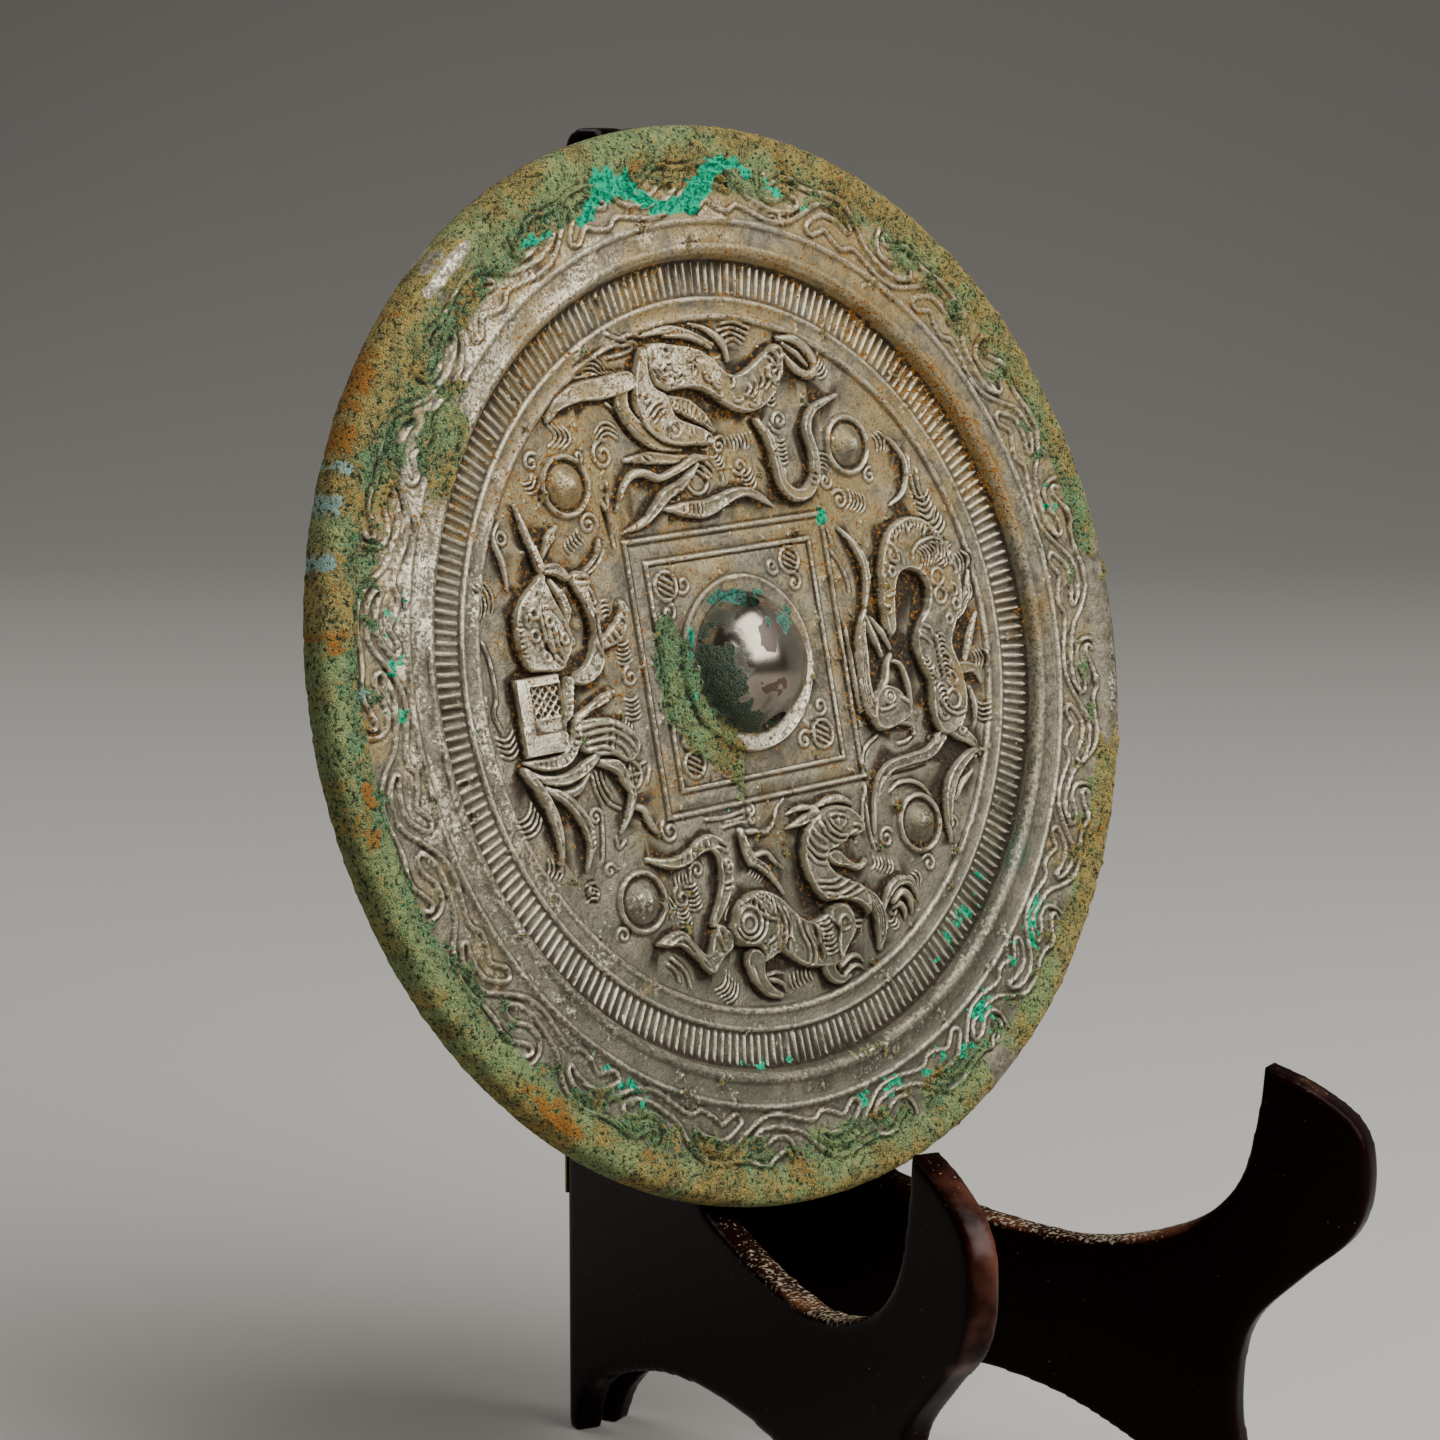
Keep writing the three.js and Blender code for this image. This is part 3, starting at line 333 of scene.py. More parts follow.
# %% Upper beast
UPPER = {
    "limbs": [
        ([(-19, 53.6), (-25, 52.9), (-31, 52.6), (-36, 51), (-38.6, 48.6)],
         [2, 2.2, 2, 1.6, 0.8], [1.6, 1.7, 1.6, 1.5, 1], "plain"),
        ([(-20.5, 53), (-21, 49), (-18.4, 45), (-14, 41.8), (-8, 40.2)],
         [1.6, 1.6, 1.7, 1.2, 0.5], [1.3, 1.3, 1.3, 1.2, 0.7], "plain"),
        ([(-9.4, 49), (-6, 47.8), (-2.4, 45.6), (1, 43)],
         [1.4, 1.8, 1.4, 0.5], [1.5, 1.6, 1.4, 0.8], "bars"),
        ([(-13, 61.6), (-6, 62), (-1, 60.6), (4, 58.6)],
         [0.5, 0.9, 0.9, 0.5], [1, 1.4, 1.4, 0.9], "feathers"),
        ([(-8, 61), (-2, 60.4), (3.4, 57.9)], [0.4, 0.7, 0.4], [1.4, 1.6, 1.2], "plain"),
        ([(-1, 62.8), (3, 61.4), (6.2, 58.6), (7, 55.4)],
         [0.3, 0.6, 0.9, 0.5], [0.8, 1.1, 1.4, 1.2], "plain"),
        ([(20.4, 58.4), (24.6, 57.8), (28, 55), (28.9, 52), (26.8, 50.9), (23.4, 52.6), (20.6, 56)],
         [0.6, 0.9, 0.9, 0.9, 0.9, 0.8, 0.4], [1.5, 1.7, 1.6, 1.5, 1.6, 1.7, 1.5], "plain"),
        ([(21.4, 57.4), (24.6, 55.2), (27.4, 52.6)], [0.4, 0.6, 0.3], [1.3, 1.5, 1], "plain"),
        ([(11.4, 43.6), (13.4, 40), (14.2, 35), (15, 31.4), (17.6, 29.2), (21, 29.2), (23.7, 31.8),
          (24.5, 36), (23.8, 41), (26, 44.2), (30, 45.6), (34, 46.6)],
         [0.8, 1, 1, 1.1, 1.3, 1.4, 1.4, 1.2, 1.1, 1, 0.8, 0.4],
         [1.8, 2.2, 2.3, 2.2, 2, 1.9, 1.9, 1.8, 1.7, 1.5, 1.2, 0.8], "plain"),
        ([(-22, 39.6), (-16, 39.4), (-10, 38.6), (-5, 38.9)],
         [0.5, 1.3, 1, 0.5], [0.8, 1.1, 1.2, 0.9], "plain"),
        ([(-26, 30.8), (-24.2, 34.4), (-21.6, 36.7), (-18.6, 36.9), (-15, 35.6), (-10.6, 36.6), (-6, 38.2),
          (-2.6, 38.2)],
         [0.3, 0.7, 0.9, 0.9, 0.8, 0.9, 1, 0.6], [0.9, 1.5, 1.8, 1.9, 1.8, 2, 2, 1.5], "plain"),
        ([(-25.4, 26.8), (-20.6, 28), (-17.6, 30), (-14.4, 32.4), (-10.8, 33.6), (-8, 35.2), (-5.6, 37.2)],
         [0.3, 0.8, 1, 1.3, 1.2, 0.9, 0.6], [0.9, 1.5, 1.8, 2.1, 2, 1.9, 1.6], "plain"),
        ([(-14.6, 30), (-11.6, 29.6), (-8.4, 29.2), (-4.6, 29), (0, 30.2), (4, 31), (8, 30.4),
          (13.2, 27.4)],
         [0.4, 1.4, 1.8, 1.6, 1.3, 1, 0.8, 0.3], [1, 1.8, 1.9, 1.8, 1.6, 1.5, 1.2, 0.7], "plain"),
        ([(-27.4, 27), (-27.9, 31), (-26.9, 36)], [0.3, 0.5, 0.3], [0.6, 0.8, 0.6], "plain"),
    ],
    "plates": [
        ([(-15, 59.4), (-17.2, 55.4), (-18.3, 51), (-18.1, 47.4), (-16.6, 44.4), (-13.6, 42), (-9.6, 40.8),
          (-4.8, 40.5), (-1.6, 40.2), (-0.6, 41.4), (-2.4, 43.4), (-5.4, 44.7), (-8.8, 46.2), (-9.9, 48.6),
          (-10.6, 50.6), (-13, 52), (-14, 55), (-13.6, 58.6)], 2),
        ([(-13.8, 59.4), (-11.6, 60), (-6, 59.2), (-2, 58.2), (1.8, 56.2), (4.2, 53.8), (6.6, 52.6),
          (10, 53.4), (14.6, 55.8), (18.4, 57.6), (19.7, 56.6), (19.8, 53.8), (18.8, 50.8), (16, 47.8),
          (12.8, 45.8), (9.8, 45.2), (6.6, 45.7), (3.6, 47), (0.8, 49), (-2, 50.5), (-5.2, 51),
          (-9.8, 50.9), (-12.4, 52), (-13.9, 54.6), (-14.3, 57)], 2.35),
    ],
    "rings": [
        (-10.3, 43.9, 1.45), (-2, 41, 1.35), (-2, 41, 0.4), (-9.8, 58.2, 0.9), (-4, 57.1, 1.1),
        (-4, 57.1, 0.4), (-1.6, 57.2, 0.6), (18.4, 55.6, 1), (16.4, 52, 1.6), (-16.2, 50.1, 0.8),
        (-4.9, 34.4, 2.6),
    ],
    "threads": [
        [(-15.6, 46.2), (-13.4, 48), (-11, 48.3)], [(-15.2, 45.3), (-12.8, 47.2), (-10.9, 47.5)],
        [(-16.3, 47.2), (-14.4, 48.8), (-12, 49.3)], [(-6.6, 43.6), (-6.7, 42)],
        [(-5.6, 43.9), (-5.9, 42.3)], [(-12, 59), (-12.6, 56.5), (-12, 53.5)], [(-8, 59), (-7.8, 57.8)],
        [(-7, 59), (-6.9, 57.8)], [(-2.6, 54), (-3, 55.2), (-4.4, 55)],
        [(-15, 60), (-18, 60.2), (-22, 59.9), (-26, 58.6), (-31, 56.6)],
        [(-14.4, 60.6), (-17, 60.9), (-20, 61.8), (-22, 62.8)], [(-12, 60.9), (-15, 61.7), (-18.4, 61.7)],
        [(-15, 59.5), (-18, 58.6), (-22.4, 58.2)], [(-18.6, 55.4), (-24, 55.5), (-31, 55.2)],
        [(-24.4, 50.6), (-22, 48.3), (-20, 45.2), (-17, 42.4)],
        [(-2.4, 46.8), (-2.9, 45.4), (-1.2, 43.6), (1.2, 42.8)], [(7, 62.3), (10.4, 62.2), (14.6, 60.8)],
        [(6, 61), (10, 61.3), (14, 59.8)], [(6.4, 59.8), (9.4, 60.4), (13, 58.8)],
        [(7.6, 58.8), (10, 59.3), (12.2, 57.9)], [(1, 41.5), (3, 41.6), (3.6, 40)],
        [(-13, 31.2), (-12.4, 32.8), (-10.6, 32.6), (-10.6, 31), (-13, 31.2)],
        [(-5.6, 37.3), (-3, 36.6), (-1, 34.6)], [(-6.4, 36.6), (-4, 35.8), (-2, 33.8)],
        [(-4.4, 37.9), (-1.8, 37.2), (-0.2, 35.4)], [(1.4, 35.6), (1.6, 33.2)],
        [(-20.6, 40), (-19.6, 38.4)], [(-19, 40.2), (-17.4, 38.4)], [(-17.4, 40.2), (-15.4, 38.4)],
        [(-9.8, 30.6), (-10.4, 28.2)], [(-8.9, 30.8), (-9.3, 28)], [(-8, 30.8), (-8.2, 27.8)],
        [(-7.1, 30.6), (-7.1, 27.8)], [(-6.2, 30.5), (-6, 27.8)], [(21.4, 31.6), (23.4, 30.6)],
        [(22, 32.5), (24, 31.6)], [(22.4, 33.4), (24.6, 32.7)], [(13.4, 37), (14.9, 37)],
        [(13.4, 38), (14.9, 38)], [(17.6, 34.6), (17.6, 32.2)], [(15.4, 43), (16.4, 41.6), (18.4, 40.8)],
    ],
}
print("upper beast:", len(UPPER["limbs"]), "limbs and", len(UPPER["threads"]), "threads")

# %% Right beast
RIGHT = {
    "limbs": [
        ([(28.6, 21.8), (31.4, 18.6), (33, 14.6), (33, 10.6), (31.8, 6.4)],
         [0.4, 0.8, 1, 0.9, 0.6], [0.8, 1.4, 1.7, 1.7, 1.5], "plain"),
        ([(31.6, 5.6), (29.4, 2), (28.4, -3), (27.8, -8), (28.6, -13), (31.4, -15.8)],
         [0.6, 1.2, 1.5, 1.6, 1.6, 1], [1.4, 1.8, 2, 2, 2.1, 2], "feathers"),
        ([(26.2, 4), (26, -2), (26, -8), (26.6, -13)], [0.3, 0.5, 0.6, 0.4], [0.9, 1.3, 1.4, 1.1], "plain"),
        ([(31.4, 4.4), (32.4, 1), (34, -3.4)], [0.5, 0.8, 0.5], [1.5, 1.8, 1.6], "feathers"),
        ([(33, 4), (35.2, 0.8), (37, -2.4)], [0.4, 0.7, 0.4], [1.2, 1.6, 1.2], "feathers"),
        ([(36.7, -3.4), (34.8, -5), (33.4, -8.2), (31, -10)],
         [0.4, 0.7, 0.8, 0.6], [1.4, 2, 2.3, 2.1], "plain"),
        ([(33.6, -15.4), (36.6, -16), (39.4, -17.4), (39.6, -19.4)],
         [1.2, 1.2, 0.8, 0.4], [2, 1.8, 1.4, 0.9], "plain"),
        ([(35.6, -4.6), (38.4, -5.4), (39.6, -9), (40, -13.6)],
         [0.4, 0.6, 0.7, 0.5], [1.2, 1.6, 1.7, 1.3], "plain"),
        ([(47.4, 16), (50.4, 16.8), (54, 15.4), (57.6, 15.8)], [0.5, 1, 1, 0.4], [2.8, 3, 2.6, 1], "plain"),
        ([(52.6, 1), (56.6, 2.4), (60, 5.6), (62, 9.6)],
         [1.3, 1.3, 0.9, 0.4], [1.8, 1.7, 1.3, 0.8], "feathers"),
        ([(56.6, -7.4), (58.4, -3.6), (60.4, -0.6), (62.2, 1.4)],
         [0.6, 0.9, 0.8, 0.4], [1.2, 1.6, 1.4, 0.9], "feathers"),
        ([(51.6, -9.4), (55, -8.6), (58.8, -9.2), (60.6, -12)],
         [1.4, 1.4, 1, 0.4], [1.9, 1.7, 1.3, 0.8], "plain"),
        ([(48, -18.6), (51, -20.4), (54.6, -22.6), (57, -25.6)],
         [1.4, 1.6, 1.1, 0.5], [1.9, 1.8, 1.4, 0.8], "plain"),
        ([(57, -12.4), (57.6, -16), (56.8, -20.4)], [0.4, 0.7, 0.3], [0.9, 1.2, 0.8], "plain"),
        ([(46.4, -20.6), (42.6, -23.2), (37, -23.8), (31.6, -24.3), (28, -26.6), (26.2, -31), (25.4, -36)],
         [1.4, 1.3, 1.2, 1.2, 1.1, 0.8, 0.4], [1.6, 1.5, 1.4, 1.4, 1.3, 1, 0.6], "plain"),
        ([(43.6, 24.6), (46.6, 26), (48.4, 28.6), (49, 32.4), (46.6, 36.4), (43.6, 38.6)],
         [0.4, 0.6, 0.7, 0.6, 0.5, 0.3], [0.8, 1.2, 1.3, 1.2, 1, 0.6], "plain"),
        ([(45.2, -41), (44.8, -36), (46, -31), (49.6, -27.2), (55, -24.8), (58.4, -25)],
         [0.4, 1, 1.4, 1.3, 1, 0.4], [0.9, 1.7, 2, 1.8, 1.4, 0.8], "plain"),
        ([(48.6, -33), (50.6, -30.4), (54.4, -28.4)], [0.4, 0.8, 0.3], [0.9, 1.2, 0.7], "plain"),
        ([(31, -29), (33.6, -27.7), (37.2, -27.9), (40, -29.4), (41.8, -31.6)],
         [0.3, 0.5, 0.5, 0.5, 0.3], [0.6, 0.9, 0.9, 0.9, 0.6], "plain"),
    ],
    "plates": [
        ([(36, 0), (35.3, 5.4), (35.6, 10), (36.8, 14.4), (38.8, 18.2), (41.4, 20.6), (45, 21.9),
          (49, 21.5), (52.6, 19.2), (55.6, 15.2), (57.6, 10.4), (57.4, 5), (55, 0.8), (52.6, -3.6),
          (54, -8.6), (54.4, -14), (52.6, -18.4), (48.6, -20.6), (45.4, -19.4), (44.4, -15), (45, -10.4),
          (43.4, -6.4), (42.6, -2.4), (44.2, 1.2), (47, 4), (48.3, 6.6), (48, 9.4), (46, 11.2), (43, 11.8),
          (40.6, 10.4), (39, 6.4), (38, 1)], 2.3),
        ([(30, -10), (32.6, -8.8), (35.4, -9.6), (37.8, -12), (38.8, -15), (37, -16.2), (33.6, -17.2),
          (30.6, -17.4), (28.4, -16), (28.6, -13)], 2.4),
    ],
    "rings": [
        (32.9, -11.2, 1.15), (32.9, -11.2, 0.4), (39, 12, 0.9), (36.5, 5, 0.7), (55.8, 13, 0.8),
        (51, 9.6, 1.6), (51, 6, 1.5), (55, 3.8, 1), (52.4, 1.2, 0.9), (44.4, -21, 0.7), (51.8, -20, 0.9),
        (50, -14, 1.8),
    ],
    "threads": [
        [(26.2, 17.6), (27.8, 15.2), (29, 12), (29.3, 9)], [(25.8, 22.4), (26.4, 20.4), (27, 18.4)],
        [(40.6, 17.4), (42, 15.4), (42.6, 12.8)], [(39.4, 17.8), (41, 16), (41.6, 13.6)],
        [(38, 9.6), (36.6, 9.2)], [(39, 7.8), (36.2, 7.4)],
        [(45.2, 13.2), (45.4, 15), (47.6, 16.6), (51, 17.2), (54, 16.4)],
        [(43.4, -0.4), (45.4, -1.6), (46.8, -3.2)], [(44, 1.4), (46.6, 0.4), (47.4, -1.6)],
        [(47.8, -0.6), (48, -4), (48.4, -10)], [(29.6, -13), (31.2, -13.4), (34.4, -12.8)],
        [(36, -11.6), (38.2, -13.4), (39.4, -16.6)], [(35, -20.4), (38, -20.2), (40.4, -18.8)],
        [(25.2, -22.6), (26.6, -20), (30.6, -17.9)],
        [(28.8, -26.4), (32, -25.4), (38, -25.2), (42.6, -24.8)], [(27, -29), (28.2, -29.2)],
        [(26.8, -30), (28, -30.4)], [(46.4, -13.4), (47.8, -15.6), (50.6, -17), (53.4, -16.6)],
        [(56.6, 14.2), (58.8, 15.4)], [(50.9, 33.4), (50.6, 29), (51.4, 25)],
        [(52.6, 31), (52.4, 27), (53.6, 23.6)],
    ],
}
print("right beast:", len(RIGHT["limbs"]), "limbs and", len(RIGHT["threads"]), "threads")

# %% Lower beast
LOWER = {
    "limbs": [
        ([(-19.4, -45.2), (-17.2, -42.2), (-15.4, -39), (-14.6, -35.6), (-15, -32.6), (-17, -30.8),
          (-20, -31), (-23.6, -32.6), (-27.6, -32.9), (-32.4, -31.3)],
         [1, 1.3, 1.6, 1.7, 1.7, 1.6, 1.4, 1.3, 1, 0.5],
         [1.2, 1.6, 1.8, 1.8, 1.8, 1.7, 1.6, 1.5, 1.3, 0.8], "plain"),
        ([(2.6, -31.4), (6, -30.8), (9.8, -29.6)], [0.3, 1, 1], [0.8, 1.5, 1.9], "feathers"),
        ([(3.4, -28.9), (6.4, -28.2), (10, -28.8)], [0.3, 0.7, 0.7], [0.8, 1.5, 1.8], "plain"),
        ([(10.4, -28.6), (14, -27.9), (17.4, -28.2), (20.4, -29.6)],
         [0.5, 0.9, 0.9, 0.4], [1.6, 1.8, 1.6, 1], "feathers"),
        ([(19.4, -46.6), (21.2, -48.6), (22.2, -52), (21.4, -57.2)],
         [1.2, 1.5, 1.5, 0.7], [2, 2, 1.7, 1.2], "feathers"),
        ([(23.8, -50.4), (26, -46.9), (29.4, -45.7), (32.4, -46.9), (33.8, -50)],
         [0.6, 1, 1.1, 0.9, 0.3], [1.2, 1.7, 1.8, 1.5, 0.8], "plain"),
        ([(26.6, -49.4), (28.8, -47.8), (30.8, -49), (31.6, -52.4)],
         [0.6, 0.9, 0.8, 0.3], [1.6, 1.9, 1.6, 0.9], "plain"),
        ([(26.4, -50.6), (28.2, -50), (29.4, -51.4), (29.6, -53.4)],
         [0.4, 0.7, 0.6, 0.2], [1.3, 1.6, 1.3, 0.8], "plain"),
        ([(-11.4, -53.6), (-10.8, -57), (-8.6, -59.6), (-5.6, -61)],
         [2.4, 1.7, 1.2, 0.7], [1.8, 1.7, 1.5, 1.1], "plain"),
        ([(-9.4, -57.6), (-7, -57.9), (-4.8, -59), (-3.6, -60.8)],
         [0.6, 0.6, 0.5, 0.2], [1.5, 1.6, 1.3, 0.8], "plain"),
        ([(-8.6, -56.8), (-5.8, -56.7), (-3.6, -57.4)], [0.5, 0.5, 0.2], [1.3, 1.3, 0.8], "plain"),
        ([(6.6, -56.8), (7.2, -59.4), (9.6, -61), (12.6, -60.8)],
         [1.8, 1.4, 1, 0.6], [2, 1.8, 1.4, 1], "plain"),
        ([(10.4, -58.6), (12.8, -57.4), (15.2, -57.5), (17, -59)],
         [0.6, 0.7, 0.6, 0.2], [1.5, 1.6, 1.3, 0.8], "plain"),
        ([(11.4, -60.2), (13.6, -59.2), (15.6, -59.5), (16.8, -60.4)],
         [0.5, 0.6, 0.5, 0.2], [1.3, 1.5, 1.2, 0.8], "plain"),
        ([(-8.9, -30), (-8.7, -33), (-7.8, -35.6)], [0.8, 1.1, 1.2], [1, 1.3, 1.4], "feathers"),
        ([(-7.8, -35.6), (-4.8, -37.6), (-2.2, -40.6), (-0.6, -43)],
         [1, 1, 0.7, 0.4], [1.3, 1.3, 1.1, 0.7], "feathers"),
        ([(-6.4, -34.9), (-3.4, -34.9), (-1.6, -37), (0.6, -38.4)],
         [0.7, 0.6, 0.5, 0.3], [1.2, 1.1, 1, 0.6], "plain"),
        ([(-9, -30.2), (-5.4, -30.6), (-2, -31), (0, -29.4), (1.2, -27.4), (3.6, -25.9)],
         [0.5, 0.6, 0.5, 0.4, 0.3, 0.2], [0.9, 1, 0.9, 0.8, 0.7, 0.5], "plain"),
    ],
    "plates": [
        ([(-34, -46.5), (-31, -45.1), (-27.4, -45), (-24.6, -48.2), (-22.4, -50.2), (-20.8, -47.4),
          (-18.6, -45.4), (-16.6, -46.8), (-16, -50), (-19, -52), (-22.2, -54.2), (-25.4, -50.6),
          (-28.4, -48), (-31.6, -47.5)], 1.7),
        ([(-15.6, -45.2), (-14, -42.8), (-10.4, -41.1), (-6.4, -41.3), (-3.2, -43), (-1, -45.2),
          (1.2, -47.4), (4, -48.8), (7.6, -48.3), (10.4, -47), (14, -47.6), (15, -52), (12, -55.6),
          (9, -58), (5, -57.9), (1, -57), (-2, -55.2), (-4.8, -53.4), (-9.4, -54.4), (-9.6, -51.6),
          (-14.6, -50.4), (-16.9, -47.8)], 2.1),
        ([(-16.4, -47.6), (-15.2, -44.6), (-12.4, -42.2), (-9, -41.4), (-6.2, -43.4), (-4.6, -47),
          (-6.6, -50.4), (-11.4, -51), (-15, -49.8)], 2.5),
        ([(9, -30.2), (6.4, -32), (4.9, -34.6), (4.2, -37.6), (4.8, -41), (6.4, -44.2), (8.6, -46.2),
          (12.6, -46.6), (16, -47.6), (18.4, -49.6), (18.6, -52), (15, -54.8), (12.4, -56.2), (17, -54),
          (19.4, -50), (19.5, -46.8), (18, -44.4), (14.8, -42.8), (12, -41.2), (10.4, -39.2), (10.9, -37.4),
          (13.4, -36.9), (15.8, -36.1), (17.4, -35.3), (19.2, -35.6), (21, -34.9), (21.4, -33.4),
          (19.6, -31), (17, -29.4), (13, -28.9)], 2.4),
        ([(10.8, -37.8), (12.6, -36.9), (14.4, -37.4), (16.8, -39.8), (19.2, -40.6), (21.3, -39.8),
          (20.8, -41.2), (18.6, -42.2), (15.6, -41), (12.4, -39.9)], 1.6),
        ([(8.4, -47.4), (11.6, -46.9), (14, -48.4), (14.5, -51), (13.2, -53.8), (10.8, -56), (9.6, -58),
          (8.8, -55), (9.6, -51.6), (8, -49.4)], 2.7),
    ],
    "rings": [
        (15, -32, 0.95), (15, -32, 0.3), (11.3, -50.6, 1.35), (-14.4, -35.2, 0.7), (-14.4, -36, 0.7),
        (-12.4, -46.6, 1.6), (-12.2, -46.4, 2.9), (-12, -46.2, 4.1), (26.9, -51, 0.8),
    ],
    "threads": [
        [(12, -30.6), (14.4, -30.7), (17, -31.7)], [(9.5, -31), (10.6, -33.8), (13, -35.5), (16, -36)],
        [(10.7, -30.7), (12, -33), (14, -34.6), (16.4, -35)], [(12, -31), (12.9, -32.6), (14.8, -33.8)],
        [(18, -33.2), (19.6, -33.6), (20.6, -34.8)], [(17.4, -34.6), (19, -34.4)],
        [(5, -36), (7, -38.5), (10, -39.3)], [(5.4, -34.6), (7.4, -37.2), (10.5, -37.9)],
        [(6.2, -33.2), (8, -35.6), (10.6, -36.6)], [(7.4, -32.2), (8.8, -34), (10.8, -35.2)],
        [(6.4, -42), (10, -42.6), (13, -42)], [(7, -43.2), (11, -43.9), (15, -43)],
        [(8.6, -44.6), (12, -45.3), (17, -44)], [(10.6, -45.8), (14, -46.1), (18.4, -45.2)],
        [(0.3, -47.6), (0.7, -50.6), (1.8, -53.4), (1.4, -56.8)],
        [(1.8, -48.2), (2.1, -51), (3.2, -54), (2.9, -57)],
        [(-2.8, -45.2), (-1.9, -49), (-2.8, -52), (-2.6, -54.2)], [(4.5, -49.2), (4.7, -52), (5.2, -56.6)],
        [(-4.2, -44.6), (-3, -48), (-4, -52)], [(-9.9, -41.6), (-9.8, -44.4)], [(-9, -41.6), (-8.9, -45)],
        [(-6.3, -42), (-6, -45.4)], [(-5.4, -42.4), (-5.2, -46)],
        [(-9.8, -44.8), (-7.4, -46.3), (-4.4, -47.4)], [(-7.6, -51), (-5.6, -49.6), (-4.9, -47.6)],
        [(-8.6, -51.2), (-6.6, -50)], [(14.6, -51), (18.7, -51.5)], [(14.4, -51.9), (18.4, -52.5)],
        [(-16.2, -38.5), (-13, -38.4)], [(-16.2, -39.5), (-13.2, -39.4)], [(-16.4, -31.6), (-14, -33)],
        [(-15.6, -30.6), (-13.6, -32)], [(-22.8, -31.2), (-22.9, -33.6)], [(-22, -30.8), (-22.2, -33.2)],
        [(-24.4, -31.8), (-24.6, -34)], [(-18.4, -30), (-18.4, -32)],
        [(-31, -47), (-27.8, -46.4), (-25, -49.6), (-22.6, -52.4)],
        [(-19.4, -46.6), (-19, -49), (-18, -51)], [(-18, -46.2), (-17.6, -48.6)],
        [(-17, -26.6), (-11, -27), (-6.6, -26.5)], [(-13, -28.7), (-9, -28.4), (-6.4, -28.7)],
        [(-12, -27.8), (-7, -27.7)], [(-5.2, -31.4), (-1.4, -31.6)],
        [(24.4, -28), (23.4, -31), (22.6, -33.8)], [(25, -26.6), (24.6, -29.6)],
        [(24.4, -30), (24.2, -35), (25, -39.4)], [(-12.4, -54.6), (-11.4, -58), (-9, -60.8)],
        [(-31.6, -50), (-29.6, -52), (-29, -54.4)], [(-30.2, -49.4), (-27.4, -52.4), (-26.6, -56)],
    ],
}
print("lower beast:", len(LOWER["limbs"]), "limbs and", len(LOWER["threads"]), "threads")

